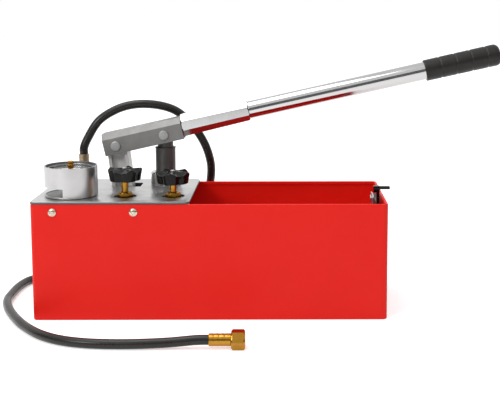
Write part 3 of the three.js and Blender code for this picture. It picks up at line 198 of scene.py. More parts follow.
# %% Turned forms, round or with flats
def turned(profile, around=96, flats=None, sides=6, first_flat=90):
    """Rings of a turned form about Z from rows of radius and height.

    At angle a the radius is the profile's own, or half the width across flats over cos(a - f) where that
    is less, f being the middle of the nearest flat. So a cone cut into a hexagon gives a nut its curved
    chamfers, just as a lathe does.
    """
    profile = np.asarray(profile, float)
    angle = np.linspace(0, 2 * np.pi, around, endpoint=False)
    radius = np.repeat(profile[:, :1], around, 1)
    if flats is not None:
        sector = 2 * np.pi / sides
        off = (angle - math.radians(first_flat) + sector / 2) % sector - sector / 2
        half = np.broadcast_to(np.asarray(flats, float).reshape(-1, 1) / 2, radius[:, :1].shape)
        radius = np.minimum(radius, half / np.cos(off)[None, :])
    height = np.repeat(profile[:, 1:], around, 1)
    return np.stack([radius * np.cos(angle), radius * np.sin(angle), height], -1)


# %% Ways that a turned form can lie
UPWARD = np.eye(3)
RIGHTWARD = np.array([[0, 0, 1], [0, 1, 0], [-1, 0, 0]], float)
BACKWARD = np.array([[1, 0, 0], [0, 0, 1], [0, -1, 0]], float)
FORWARD = np.array([[1, 0, 0], [0, 0, -1], [0, 1, 0]], float)


def laid(grid, turn, place):
    """Every point turned by a matrix and then moved: p' = turn p + place."""
    return grid @ np.asarray(turn, float).T + np.asarray(place, float)


def span(node):
    """Lowest and highest corner of a CAD node in millimetres."""
    low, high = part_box(node)
    return np.array(low) / MM, np.array(high) / MM


def levels(node):
    """Lowest and highest level of a CAD node in millimetres."""
    return [corner[2] for corner in span(node)]


# %% [markdown]
# ## Finishes
#
# A finish is colour, roughness and a fine relief together. The three small node groups below hold what
# several finishes share: a relief like the skin of paint or of a casting, a slow drift of a value over the
# surface, and the fine rings that a lathe or a brush leaves. Each material sets its own numbers on them.

# %% A relief group
def start_group(name, labels, result):
    """A shader node group, its inputs, which are numbers but for one called Vector, and its one output."""
    group = bpy.data.node_groups.new(name, "ShaderNodeTree")
    for label in labels:
        kind = "NodeSocketVector" if label == "Vector" else "NodeSocketFloat"
        group.interface.new_socket(name=label, in_out="INPUT", socket_type=kind)
    group.interface.new_socket(name=result, in_out="OUTPUT", socket_type="NodeSocketFloat")
    given = group.nodes.new("NodeGroupInput").outputs
    return group, given, group.nodes.new("NodeGroupOutput").inputs[result]


def add_node(tree, kind, given, **settings):
    """A shader node whose inputs, by name or number, are linked to an output or set to a value."""
    node = tree.nodes.new("ShaderNode" + kind)
    for label, value in settings.items():
        setattr(node, label, value)
    for label, source in given.items():
        if isinstance(source, bpy.types.NodeSocket):
            tree.links.new(source, node.inputs[label])
        else:
            node.inputs[label].default_value = source
    return node


def grain_group():
    """Height = coarse noise plus a third of noise three times finer."""
    group, given, result = start_group("Surface grain", ("Vector", "Scale"), "Height")
    place, scale = given["Vector"], given["Scale"]
    coarse = add_node(group, "TexNoise", {"Vector": place, "Scale": scale, "Detail": 3})
    finer = add_node(group, "Math", {0: scale, 1: 3}, operation="MULTIPLY")
    fine = add_node(group, "TexNoise", {"Vector": place, "Scale": finer.outputs[0], "Detail": 2})
    parts = {0: fine.outputs["Fac"], 1: 0.33, 2: coarse.outputs["Fac"]}
    total = add_node(group, "Math", parts, operation="MULTIPLY_ADD")
    group.links.new(total.outputs[0], result)
    return group


# %% A drift group
def drift_group():
    """Value = slow noise carried from Low to High."""
    group, given, result = start_group("Slow drift", ("Vector", "Scale", "Low", "High"), "Value")
    noise = add_node(group, "TexNoise", {"Vector": given["Vector"], "Scale": given["Scale"], "Detail": 4})
    spread = add_node(group, "MapRange", {
        "Value": noise.outputs["Fac"], "From Min": 0.3, "From Max": 0.7,
        "To Min": given["Low"], "To Max": given["High"],
    })
    group.links.new(spread.outputs["Result"], result)
    return group


# %% A group for lathe and brush lines
def lines_group():
    """Height = noise on the map, stretched along u and tight along v, so that it forms fine rings."""
    group, given, result = start_group("Tool lines", ("Lines per metre",), "Height")
    split = add_node(group, "SeparateXYZ", {0: add_node(group, "TexCoord", {}).outputs["UV"]}).outputs
    tight = add_node(group, "Math", {0: split["Y"], 1: given["Lines per metre"]}, operation="MULTIPLY")
    loose = add_node(group, "Math", {0: split["X"], 1: 12}, operation="MULTIPLY")
    joined = add_node(group, "CombineXYZ", {"X": loose.outputs[0], "Y": tight.outputs[0]})
    noise = add_node(group, "TexNoise", {"Vector": joined.outputs[0], "Scale": 1, "Detail": 2})
    group.links.new(noise.outputs["Fac"], result)
    return group


GRAIN = grain_group()
DRIFT = drift_group()
LINES = lines_group()
print("groups:", [group.name for group in (GRAIN, DRIFT, LINES)])

# %% [markdown]
# A material is put together by one helper. The plain numbers go straight onto the shader's own sockets.
# Drift feeds the roughness or mixes two close tones, and the relief goes through a Bump node whose
# distance is the real height of the marks, a few hundredths of a millimetre.

# %% Material helper
def blank(name, **sockets):
    """A material and its shader with these inputs set, where _ stands for a space."""
    material = bpy.data.materials.new(name)
    material.use_nodes = True
    shader = material.node_tree.nodes["Principled BSDF"]
    for label, value in sockets.items():
        shader.inputs[label.replace("_", " ")].default_value = value
    return material, shader


def finish(name, tone, roughness, metallic=0.0, second_tone=None, tone_scale=20, rough_scale=60,
           grain=None, lines=None, relief=0.02, **sockets):
    """A material: tone and roughness (one number, or a low and a high one), with a relief in mm."""
    material, shader = blank(name, Base_Color=(*tone, 1), Metallic=metallic, **sockets)
    tree = material.node_tree
    place = add_node(tree, "TexCoord", {}).outputs["Object"]

    def drift(scale, low, high):
        given = {"Vector": place, "Scale": scale, "Low": low, "High": high}
        return add_node(tree, "Group", given, node_tree=DRIFT).outputs["Value"]

    if second_tone is not None:
        tones = {"A": (*tone, 1), "B": (*second_tone, 1), "Factor": drift(tone_scale, 0.0, 1.0)}
        mix = add_node(tree, "Mix", tones, data_type="RGBA")
        tree.links.new(mix.outputs["Result"], shader.inputs["Base Color"])
    if np.ndim(roughness):
        tree.links.new(drift(rough_scale, *roughness), shader.inputs["Roughness"])
    else:
        shader.inputs["Roughness"].default_value = roughness
    if grain is not None or lines is not None:
        if lines is None:
            source = add_node(tree, "Group", {"Vector": place, "Scale": grain}, node_tree=GRAIN)
        else:
            source = add_node(tree, "Group", {"Lines per metre": lines}, node_tree=LINES)
        height = source.outputs["Height"]
        bump = add_node(tree, "Bump", {"Strength": 1, "Distance": relief * MM, "Height": height})
        tree.links.new(bump.outputs["Normal"], shader.inputs["Normal"])
    return material


# %% The finishes of the pump
finishes = {
    "red_paint": finish("Red enamel", (0.76, 0.012, 0.006), (0.34, 0.46), second_tone=(0.73, 0.010, 0.005),
                        tone_scale=9, grain=700, relief=0.012, Specular_IOR_Level=0.2),
    "galvanised": finish("Zinc plated sheet", (0.62, 0.615, 0.61), (0.27, 0.38), 1.0,
                         second_tone=(0.55, 0.55, 0.55), tone_scale=55, grain=900, relief=0.006),
    "cast_metal": finish("Light alloy casting", (0.66, 0.65, 0.645), (0.42, 0.6), 0.5,
                         second_tone=(0.56, 0.55, 0.545), tone_scale=160, grain=1300, relief=0.06),
    "grey_paint": finish("Grey painted casting", (0.21, 0.205, 0.20), (0.30, 0.42), 0.35,
                         second_tone=(0.18, 0.177, 0.174), tone_scale=90, grain=1100, relief=0.045),
    "chrome": finish("Chrome plate", (0.50, 0.495, 0.495), (0.08, 0.15), 1.0, rough_scale=45,
                     grain=160, relief=0.004),
    "polished_steel": finish("Ground steel", (0.56, 0.55, 0.55), (0.30, 0.40), 1.0, lines=4500, relief=0.006),
    "dark_steel": finish("Oiled dark steel", (0.085, 0.081, 0.078), (0.38, 0.50), 0.7, lines=2600,
                         relief=0.05),
    "brass": finish("Brass", (0.42, 0.21, 0.03), (0.20, 0.30), 1.0, second_tone=(0.38, 0.185, 0.025),
                    tone_scale=120, lines=3800, relief=0.006),
    "yellow_zinc": finish("Yellow passivated zinc", (0.64, 0.57, 0.43), (0.20, 0.32), 1.0,
                          second_tone=(0.54, 0.50, 0.44), tone_scale=240, grain=1500, relief=0.006),
    "black_plastic": finish("Black moulded plastic", (0.004, 0.0035, 0.003), (0.08, 0.14),
                            grain=1200, relief=0.008, Specular_IOR_Level=0.17),
    "black_rubber": finish("Black rubber", (0.014, 0.013, 0.012), (0.36, 0.5),
                           second_tone=(0.018, 0.017, 0.016), tone_scale=70, grain=900, relief=0.02,
                           Specular_IOR_Level=0.25),
    "seal_rubber": finish("Seal rubber", (0.03, 0.028, 0.026), (0.6, 0.8), grain=1100, relief=0.03),
    "dial_white": finish("Dial enamel", (0.84, 0.83, 0.79), (0.45, 0.6), grain=900, relief=0.004),
    "pointer_black": finish("Black print", (0.012, 0.012, 0.012), (0.4, 0.55), grain=900, relief=0.004),
    "pointer_red": finish("Red hand", (0.62, 0.022, 0.016), (0.35, 0.5), grain=900, relief=0.004),
    "clear_glass": finish("Window glass", (0.95, 0.97, 0.97), 0.02, IOR=1.5, Transmission_Weight=1.0),
    "ground_pin": finish("Ground pin", (0.40, 0.40, 0.40), (0.42, 0.55), 0.8,
                         second_tone=(0.33, 0.33, 0.33), tone_scale=300, grain=1500, relief=0.02),
    "brushed": finish("Brushed guard ring", (0.56, 0.55, 0.55), (0.28, 0.36), 1.0,
                      second_tone=(0.50, 0.49, 0.49), tone_scale=40, lines=3200, relief=0.012),
    "tarnished": finish("Tarnished brass", (0.36, 0.27, 0.16), (0.34, 0.48), 1.0,
                        second_tone=(0.30, 0.24, 0.16), tone_scale=260, lines=2600, relief=0.01),
    "hose_rubber": finish("Smooth hose rubber", (0.013, 0.012, 0.011), (0.24, 0.36),
                          second_tone=(0.018, 0.016, 0.015), tone_scale=45, grain=420, relief=0.02,
                          Specular_IOR_Level=0.3),
    # The guard's own steel, darker than its outside: painted shade inside the cup.
    "painted_shade_inside": finish("Guard steel darkened as painted shade", (0.30, 0.30, 0.30), (0.36, 0.5), 1.0, grain=900,
                          relief=0.02),
    # Bare steel of the cut edge, painted darker still as the shade in the gap between the plate and the
    # tank's rim.
    "cut_edge_and_shade": finish("Bare cut edge with painted shade", (0.13, 0.13, 0.13), (0.45, 0.6), 0.6, grain=1400, relief=0.02),
}
print("finishes:", len(finishes))


# %% Fitting a new piece in
def added(piece, body, slot, material=None):
    """A detail with no CAD node of its own, which moves with a body and takes a slot's finish."""
    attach(piece, body)
    piece.data.materials.append(material or finishes[slot])
    return piece


def fitted(piece, node, material=None):
    """The piece stands for a CAD node, moves with its body and takes its finish."""
    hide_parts(node)
    return added(piece, body_of[node], slot_of[node], material)


def set_in(node, name, rings, place, turn=UPWARD, closed=False, crease=35, material=None):
    """A skin over rings that are turned and moved to their place, fitted over its CAD node."""
    return fitted(skin(name, laid(rings, turn, place), closed, crease), node, material)


def lathe(node, name, profile, place, turn=UPWARD, around=96, flats=None, sides=6, first_flat=90,
          ease=None, closed=False, crease=35, material=None):
    """A turned piece in its place, whose profile has its corners eased where a radius is given."""
    line = profile if ease is None else eased(profile, ease, closed=closed)
    rings = turned(line, around, flats, sides, first_flat)
    return set_in(node, name, rings, place, turn, closed, crease, material)


# %% [markdown]
# ## Hose
#
# The hose leaves the outlet, arches over the head plate, drops behind the tank, passes round its left
# end on the floor and ends in front in a crimped sleeve with a union nut. Its free length is 1.13 m. A
# smooth curve runs through measured points. Blender's own curve bevel then makes the tube, because it
# keeps the section round in every bend without any frames to work out.

# %% Route of the hose
hose_radius = 6.1
hose_route = np.array([
    (-189, 55, 199.1), (-188.8, 55.2, 208), (-182.5, 58, 223.3), (-167.9, 61, 245.8), (-146.5, 65, 260.2),
    (-125.4, 68, 267.4), (-101.3, 71, 269.1), (-76.2, 74, 265.4), (-58.8, 77, 258.3), (-41.7, 80, 243.8),
    (-26.9, 83, 224.2), (-16.5, 87, 202.9), (-10.6, 92, 176.7), (-12.3, 97, 151), (-20, 101, 118),
    (-35, 103, 82), (-60, 104.5, 47), (-95, 105.5, 22), (-136, 105.8, 9), (-182, 106.2, 6.4),
    (-228, 106.2, 6.4), (-260, 99.5, 6.4), (-279, 80, 6.4), (-285.8, 52, 6.4), (-286.4, 13, 6.4),
    (-284, -18, 6.4), (-275, -47, 6.4), (-257, -85, 6.4), (-233, -124, 6.4), (-204, -158, 6.4),
    (-175, -178, 6.4), (-141, -189, 6.4), (-96, -192.5, 6.4), (-44, -192, 8), (-8, -191, 10.8),
    (6, -191, 11),
])


def smooth_line(points, steps):
    """A centripetal curve through the points.

    Between two points p1 and p2 it is the cubic with slopes m1 and m2, where m1 = (p1-p0)/a -
    (p2-p0)/(a+b) + (p2-p1)/b and a, b and c are the square roots of the three gaps round the stretch.
    """
    ends = np.vstack([2 * points[0] - points[1], points, 2 * points[-1] - points[-2]])
    p0, p1, p2, p3 = ends[:-3], ends[1:-2], ends[2:-1], ends[3:]
    steps_between = (p1 - p0, p2 - p1, p3 - p2)
    a, b, c = (np.sqrt(np.linalg.norm(step, axis=1, keepdims=True)) for step in steps_between)
    m1 = ((p1 - p0) / a - (p2 - p0) / (a + b) + (p2 - p1) / b) * b
    m2 = ((p2 - p1) / b - (p3 - p1) / (b + c) + (p3 - p2) / c) * b
    t = np.linspace(0, 1, steps, endpoint=False)[None, :, None]
    cubic = (
        (2 * t ** 3 - 3 * t ** 2 + 1) * p1[:, None]
        + (t ** 3 - 2 * t ** 2 + t) * m1[:, None]
        + (3 * t ** 2 - 2 * t ** 3) * p2[:, None]
        + (t ** 3 - t ** 2) * m2[:, None]
    )
    return np.vstack([cubic.reshape(-1, 3), points[-1:]])


hose_line = smooth_line(hose_route, 8)
hose_length = np.linalg.norm(np.diff(hose_line, axis=0), axis=1).sum()
print(f"hose: {hose_length:.0f} mm long")

# %% The hose's tube
hose_curve = bpy.data.curves.new("rubber_hose", "CURVE")
hose_curve.dimensions = "3D"
hose_curve.bevel_depth = 1
hose_curve.bevel_resolution = 6
hose_curve.use_fill_caps = True
spline = hose_curve.splines.new("POLY")
spline.points.add(len(hose_line) - 1)
spline.points.foreach_set("co", np.column_stack([hose_line * MM, np.ones(len(hose_line))]).ravel())
spline.points.foreach_set("radius", np.full(len(hose_line), hose_radius * MM))
spline.use_smooth = True
rubber_hose = linked("rubber_hose", hose_curve)
fitted(rubber_hose, "hose", material=finishes["hose_rubber"])

# %% [markdown]
# The sleeves at both ends are crimped in three rings, and the union nut is a hexagon bar turned down to a
# chamfer at each end. Its bore shows from the side, so the rings of the skin run on into it.

# %% Crimped sleeves
def crimped(radius, low, high, grooves=3, depth=0.7, width=3.0):
    """Profile of a sleeve: its radius less depth times a smooth dip of the given width at each groove."""
    height = np.linspace(low, high, 61)
    pitch = (high - low) / (grooves + 1)
    middle = low + pitch * np.arange(1, grooves + 1)
    dip = np.exp(-(((height[:, None] - middle) / (width / 2.2)) ** 2)).sum(1)
    side = np.column_stack([radius - depth * dip, height])
    side[0, 0] -= 0.5
    side[-1, 0] -= 0.5
    side[1, 1] = low + 0.35
    side[-2, 1] = high - 0.35
    return side


outlet_low, outlet_high = span("outlet_ferrule")
outlet_x, outlet_y = (outlet_low + outlet_high)[:2] / 2
outlet_side = crimped(7.3, outlet_low[2], outlet_high[2], depth=0.3)
at_outlet = (outlet_x, outlet_y, 0)
lathe("outlet_ferrule", "outlet_sleeve", outlet_side, at_outlet, material=finishes["tarnished"])

end_place = np.array([6.3, -191, 11])
end_stem = eased([(4.6, 26.7), (4.7, 30.3), (7.4, 30.3), (5, 34.3), (3.2, 34.3), (3.2, 30)], 0.3)
end_profile = np.vstack([crimped(7.6, 0, 26.7, depth=0.12), end_stem])
end_sleeve = lathe("hose_end_ferrule", "end_sleeve", end_profile, end_place, RIGHTWARD,
                   material=finishes["brass"])

# %% Union nut
nut_start, nut_length, nut_flats = 27.0, 16.5, 22.0
nut_corner = nut_flats / math.sqrt(3)
nut_end = nut_start + nut_length
brass_nut = lathe("union_nut", "brass_union_nut", [
    (5.3, nut_start), (10.6, nut_start), (nut_corner, nut_start + 1.6), (nut_corner, nut_end - 1.6),
    (10.8, nut_end), (9.9, nut_end), (9.4, nut_end - 0.8), (9.4, nut_start + 3.0), (5.3, nut_start + 3.0),
], end_place, RIGHTWARD, 120, nut_flats, first_flat=0, ease=0.25, closed=True, crease=25)

# %% [markdown]
# ## Tank
#
# The tank is one folded sheet with its rim hemmed inwards, sprayed red inside and out. Its wall is a
# profile carried round a rounded rectangle: out along the bottom, up the outside, over the hem, down the
# inside and back along the bottom. The rolled rim is what gives the thin bright line along the top.

# %% Tank
def rounded_rings(half_x, half_y, corner, rows, per_corner=7):
    """Rings of a rounded rectangle.

    Each row gives an inset d and a height z. A point is the corner's centre plus its radius times the
    direction of the angle, where both half sides and the radius are less by d, and the radius is never
    under 0.4 mm.
    """
    inset, height = np.asarray(rows, float).T[:, :, None, None]
    radius = np.maximum(corner - inset, 0.4)
    angle = np.linspace(0, np.pi / 2, per_corner)[None, None, :] + (np.arange(4) * np.pi / 2)[None, :, None]
    sign_x = np.array([1, -1, -1, 1])[None, :, None]
    sign_y = np.array([1, 1, -1, -1])[None, :, None]
    x = sign_x * (half_x - inset - radius) + radius * np.cos(angle)
    y = sign_y * (half_y - inset - radius) + radius * np.sin(angle)
    grid = np.stack(np.broadcast_arrays(x, y, height), -1)
    return grid.reshape(len(grid), -1, 3)


tank_low, tank_high = span("tank")
tank_half = (tank_high - tank_low) / 2
tank_top = tank_high[2]
sheet, hem = 1.8, 5.0
tank_wall = eased([
    (30, 0), (0, 0), (0, tank_top), (2 * sheet, tank_top), (2 * sheet, tank_top - hem),
    (sheet, tank_top - hem), (sheet, sheet), (30, sheet),
], np.array([0, 2.2, 1.6, 1.6, 0.8, 0.2, 2.6, 0]), steps=6)
tank_grid = rounded_rings(tank_half[0], tank_half[1], 6.0, tank_wall)
water_tank = skin("water_tank", tank_grid, crease=40)
fitted(water_tank, "tank")
print("tank faces:", len(water_tank.data.polygons))

# %% [markdown]
# ## Head plate
#
# The plate is cut from sheet, with round holes for the valves, the gauge, the outlet and the pump, and an
# opening for the link. A flat curve with holes fills itself, gets its thickness from Extrude and its eased
# edges from Bevel, and then becomes a mesh. That is simpler than cutting holes with booleans.

# %% Flat cut pieces
ACROSS = np.array([[0, 0, 1], [1, 0, 0], [0, 1, 0]], float)


def circle(x, y, radius, count=72):
    """Points at x + r cos a, y + r sin a."""
    angle = np.linspace(0, 2 * np.pi, count, endpoint=False)
    return np.column_stack([x + radius * np.cos(angle), y + radius * np.sin(angle)])


def rounded_box(x0, y0, x1, y1, radius):
    """A rectangle whose corners are eased by one radius or by four."""
    return eased([(x0, y0), (x1, y0), (x1, y1), (x0, y1)], radius, 8, closed=True)


def cut_sheet(name, outlines, thickness, edge=0.3, turn=UPWARD, place=(0, 0, 0)):
    """A flat piece from an outline and its holes in mm, from z = 0 up to its thickness, with eased edges."""
    curve = bpy.data.curves.new(name, "CURVE")
    curve.dimensions = "2D"
    curve.fill_mode = "BOTH"
    for outline in outlines:
        path = curve.splines.new("POLY")
        path.points.add(len(outline) - 1)
        flat = np.column_stack([outline * MM, np.zeros(len(outline)), np.ones(len(outline))])
        path.points.foreach_set("co", flat.ravel())
        path.use_cyclic_u = True
    curve.extrude = (thickness / 2 - edge) * MM
    curve.bevel_depth = edge * MM
    curve.bevel_resolution = 2
    curve.offset = -edge * MM
    return from_curve(name, curve, turn, place, thickness / 2)


def rows_of(items, what):
    """One row of three numbers for each vertex or face of a mesh."""
    rows = np.zeros(len(items) * 3, np.float32)
    items.foreach_get(what, rows)
    return rows.reshape(-1, 3)


def merged(name, mesh, crease=35):
    """A piece from a mesh whose loose faces are joined, with the flat ones made whole and facing out."""
    work = bmesh.new()
    work.from_mesh(mesh)
    bmesh.ops.remove_doubles(work, verts=work.verts, dist=1e-6)
    bmesh.ops.dissolve_limit(work, angle_limit=math.radians(0.4), verts=work.verts, edges=work.edges)
    bmesh.ops.recalc_face_normals(work, faces=work.faces)
    work.to_mesh(mesh)
    work.free()
    mesh.name = name
    mesh.materials.clear()
    mesh.shade_smooth()
    mesh.set_sharp_from_angle(angle=math.radians(crease))
    return linked(name, mesh)


def from_curve(name, curve, turn, place, lift=0):
    """A piece from the mesh that a curve makes, raised by the lift, then turned and moved, all in mm."""
    shape = bpy.data.objects.new(name, curve)
    mesh = bpy.data.meshes.new_from_object(shape)
    bpy.data.objects.remove(shape)
    bpy.data.curves.remove(curve)
    points = laid(rows_of(mesh.vertices, "co") + (0, 0, lift * MM), turn, np.asarray(place) * MM)
    mesh.vertices.foreach_set("co", points.astype(np.float32).ravel())
    return merged(name, mesh)


# %% Plate
plate_low, plate_high = span("cover_plate")
plate_top = plate_high[2]
plate_thickness = 3.2
plate_bottom = plate_top - plate_thickness
left_valve = np.array([-115, -44])
right_valve = np.array([-51, -44])
gauge = np.array([-187.5, -38])
pump = np.array([-70.5, 39])
plate_outlines = [
    rounded_box(plate_low[0], plate_low[1], plate_high[0], plate_high[1], np.array([6, 8, 8, 6])),
    circle(*left_valve, 15),
    circle(*right_valve, 15),
    circle(*gauge, 6.5),
    circle(outlet_x, outlet_y, 7.1),
    circle(*pump, 17),
    rounded_box(-145.5, 24, -104.7, 54, 3),
]
head_plate = cut_sheet("head_plate", plate_outlines, plate_thickness, 0.5, place=(0, 0, plate_bottom))
fitted(head_plate, "cover_plate")
# The plate's side faces take the dark edge finish: bare cut steel, and painted shade from the gap under the
# plate.
head_plate.data.materials.append(finishes["cut_edge_and_shade"])
on_edge = (rows_of(head_plate.data.polygons, "normal")[:, 2] < 0.5).astype(np.int32)
head_plate.data.polygons.foreach_set("material_index", on_edge)
print("plate faces:", len(head_plate.data.polygons))

# %% Joggled tabs under the plate
tab_middles = (-202.7, -98.0)
face, foot, tab_sheet, tab_width = 81.1, 82.9, 2.5, 26
for side, where in ((-1, "front"), (1, "rear")):
    tab_line = np.array([
        (face, 155.9), (face, 148.7), (foot, 146.7), (foot, 138.5),
        (foot - tab_sheet, 138.5), (foot - tab_sheet, 146.7),
        (face - tab_sheet, 148.7), (face - tab_sheet, 155.9),
    ]) * (side, 1)
    for middle, hand in zip(tab_middles, ("left", "right")):
        tab = cut_sheet(f"plate_tab_{where}_{hand}", [eased(tab_line, 0.6, 3, closed=True)], tab_width, 0.3,
                        ACROSS, (middle - tab_width / 2, 0, 0))
        added(tab, "base", "galvanised")

# %% [markdown]
# ## Screws
#
# The tank is held by pan head screws with a cross recess. The head is a height over a disc: a dome, less a
# cross shaped dent. One function gives them all, also the small steel screws in the star knobs.

# %% Cross head screws
def pan_head(radius, height, rim, shank, length, recess=1.1, around=96):
    """Rings of a screw whose seat is at z = 0.

    Inside the rim the height at distance r is rim + (height - rim)(1 - (r/R)^2.6), less the recess in the
    cross. The recess is full within 0.13 R of an axis and 0.5 R of the middle, and fades out by 0.19 R and
    0.62 R.
    """
    body = eased([(shank, -length), (shank, 0), (radius, 0), (radius, rim)], 0.2)
    share = np.concatenate([np.linspace(0.985, 0.66, 8), np.linspace(0.62, 0.05, 18)])
    grid = turned(np.vstack([body, np.column_stack([share * radius, np.zeros_like(share)])]), around)
    x, y = grid[len(body):, :, 0] / radius, grid[len(body):, :, 1] / radius
    reach = np.hypot(x, y)
    near_axis = np.minimum(np.abs(x), np.abs(y))
    arm = np.clip((0.19 - near_axis) / 0.06, 0, 1) * np.clip((0.62 - reach) / 0.12, 0, 1)
    grid[len(body):, :, 2] = rim + (height - rim) * (1 - reach ** 2.6) - recess * arm
    return grid


tank_face, right_face = 85.3, 232.3
tank_sides = (("front", FORWARD, -tank_face), ("rear", BACKWARD, tank_face))
screws = [(f"plate_screw_{side}_{hand}", 5.2, 8, turn, 1, level)
          for side, turn, level in tank_sides for hand in ("left", "right")]
screws += [(f"catch_screw_{side}", 5.5, 5, RIGHTWARD, 0, right_face) for side in ("front", "rear")]
for node, radius, length, turn, axis, level in screws:
    seat = np.mean(span(node), 0)
    seat[axis] = level
    set_in(node, node + "_cross", pan_head(radius, 3.0, 1.2, 2.5, length), seat, turn, crease=50)

# %% [markdown]
# ## Shut-off valves
#
# Each valve is a brass nut, a brass spindle and a moulded star knob with a steel screw. The knob has five
# lobes. Its radius follows a wave round the knob, and its top dips between the lobes, which gives the sharp
# light lines that run down from the hub.

# %% Star knob
def star_rings(bottom, height, turn_by, mean=21.7, lobe=1.5, lobes=5, dip=4.8, around=240):
    """Rings of a star knob.

    At angle a the wave is n = |sin(lobes (a - turn_by) / 2)|. The radius is (mean + lobe (1 - 2 n^5))
    times the ring's share, so that the lobes are broad and the valleys narrow, and the lobes fade out
    towards the hub. The top is lower by dip n^1.3 times the ring's own share of the dip.
    """
    shares = eased([
        (0.40, 0.10, 0), (0.48, 0.02, 0), (0.85, 0.0, 0), (0.90, 0.05, 0), (0.955, 0.5, 0.05),
        (1.0, 0.93, 1), (0.985, 0.985, 1), (0.93, 1.0, 0.97), (0.64, 0.995, 0.55), (0.42, 0.985, 0.1),
        (0.34, 0.98, 0), (0.30, 0.93, 0), (0.10, 0.93, 0),
    ], 0.02, 4)
    angle = np.linspace(0, 2 * np.pi, around, endpoint=False)
    wave = np.abs(np.sin(lobes * (angle - turn_by) / 2))
    lobed = np.clip((shares[:, :1] - 0.35) / 0.4, 0, 1)
    radius = (mean + lobe * (1 - 2 * wave ** 5) * lobed) * shares[:, :1]
    level = bottom + height * shares[:, 1:2] - dip * wave ** 1.3 * shares[:, 2:3]
    return np.stack([radius * np.cos(angle), radius * np.sin(angle), level], -1)


# %% Both valves
small_flats = 17.7
small_corner = small_flats / math.sqrt(3)
for hand, where, knob_turn in (("left", left_valve, 86), ("right", right_valve, -94)):
    place = (*where, 0)
    low, high = levels(f"{hand}_gland_nut")
    lathe(f"{hand}_gland_nut", f"{hand}_valve_nut", [
        (7.8, low), (small_corner - 0.4, low), (small_corner, low + 0.5), (small_corner, high - 1.3),
        (8.5, high), (5.6, high), (4.8, high - 0.7), (4.8, high - 2.2), (7.8, high - 2.2),
    ], place, around=120, flats=small_flats, ease=0.2, closed=True, crease=25)
    low, high = levels(f"{hand}_spindle")
    lathe(f"{hand}_spindle", f"{hand}_stem", [
        (2.5, low), (2.5, low + 2.3), (5.5, low + 2.3), (5.5, low + 21.7), (4.5, low + 21.7),
        (4.5, high), (2.3, high), (2.3, high - 6.3),
    ], place, around=64, ease=0.3)
    low, high = levels(f"{hand}_star_knob")
    knob = star_rings(low, high - low + 1.9, math.radians(knob_turn))
    set_in(f"{hand}_star_knob", f"{hand}_hand_knob", knob, place, crease=60)
    low, high = levels(f"{hand}_knob_screw")
    screw = pan_head(3.2, 2.1, 0.9, 2.0, high - low - 2.4, 0.8)
    set_in(f"{hand}_knob_screw", f"{hand}_top_screw", screw, (*where, high - 1.2), crease=50,
           material=finishes["ground_pin"])

# %% [markdown]
# ## Gauge and its guard
#
# The guard is a cup of brushed steel with a long window low in its wall, so that the gauge's foot can be
# reached. Here the middle of the sheet is one grid, the window's faces are left out, and Solidify gives the
# wall its thickness. Bevel then eases the edges.

# %% Guard ring
guard_low, guard_high = levels("gauge_guard")
guard_wall, guard_mid = 2.0, 34.0
window_low, window_high = guard_low + 2.7, guard_low + 13.4
window_start, window_end = math.radians(115), math.radians(264)
floor_mid = guard_low + guard_wall / 2
guard_line = eased([(7.5, floor_mid), (guard_mid, floor_mid), (guard_mid, window_low)], 1.2)
upper = [(guard_mid, level) for level in (window_high, (window_high + guard_high) / 2, guard_high)]
guard_rows = np.vstack([guard_line, upper])
around_window = np.linspace(window_start, window_end, 57)
around_rest = np.linspace(window_end, window_start + 2 * np.pi, 84)[1:-1]
guard_angle = np.concatenate([around_window, around_rest])
guard_grid = np.stack([
    gauge[0] + guard_rows[:, :1] * np.cos(guard_angle),
    gauge[1] + guard_rows[:, :1] * np.sin(guard_angle),
    np.repeat(guard_rows[:, 1:], len(guard_angle), 1),
], -1)
window_row = len(guard_line) - 1


def open_sheet(name, grid, left_out):
    """A sheet over rings of points without the quads whose row and column are left out."""
    rows, columns = grid.shape[:2]
    row, column = np.indices((rows - 1, columns))
    kept = ~left_out(row, column).ravel()
    quads, quad_map, _, _ = ring_faces(grid, rows - 1)
    mesh = mesh_of(name, grid.reshape(-1, 3), quads[kept].tolist(), quad_map[kept].ravel())
    mesh.shade_smooth()
    return linked(name, mesh)


guard_ring = open_sheet("guard_ring", guard_grid,
                        lambda row, column: (row == window_row) & (column < len(around_window) - 1))
wall_modifier = guard_ring.modifiers.new("wall", "SOLIDIFY")
wall_modifier.thickness = guard_wall * MM
wall_modifier.offset = 0
wall_modifier.use_even_offset = True
fitted(guard_ring, "gauge_guard", material=finishes["brushed"])
# The inner face of the wall takes the darker copy of the steel, which is painted shade inside the cup.
guard_ring.data.materials.append(finishes["painted_shade_inside"])
wall_modifier.material_offset = 1


def bevelled(piece, width, segments=2, angle=50):
    """Eases every edge sharper than the angle by a width in mm."""
    edge = piece.modifiers.new("eased_edges", "BEVEL")
    edge.width = width * MM
    edge.segments = segments
    edge.limit_method = "ANGLE"
    edge.angle_limit = math.radians(angle)
    edge.harden_normals = True
    return piece


bevelled(guard_ring, 0.35)

# %% Gauge body
case_low, case_top = levels("gauge_case")
at_gauge = (*gauge, 0)
lathe("gauge_case", "gauge_body", [
    (5.3, case_low), (31, case_low), (31, case_top), (29.7, case_top), (29.7, case_top - 2.4),
    (28.6, case_top - 2.4), (28.6, case_top - 8.2), (27.2, case_top - 8.2), (27.2, case_low + 1.6),
    (5.3, case_low + 1.6),
], at_gauge, around=128, ease=0.3, closed=True)

low, high = levels("gauge_bezel")
lathe("gauge_bezel", "bezel_ring", [
    (31.3, low), (32.4, low), (32.4, high), (28.0, high - 0.2),
    (28.0, case_top + 0.3), (31.3, case_top + 0.3),
], at_gauge, around=128, ease=0.5, closed=True)

low, glass_top = levels("gauge_glass")
lathe("gauge_glass", "gauge_window", [(1.5, low), (29.4, low), (29.4, glass_top), (1.5, glass_top)],
      at_gauge, around=128, ease=0.15, closed=True)

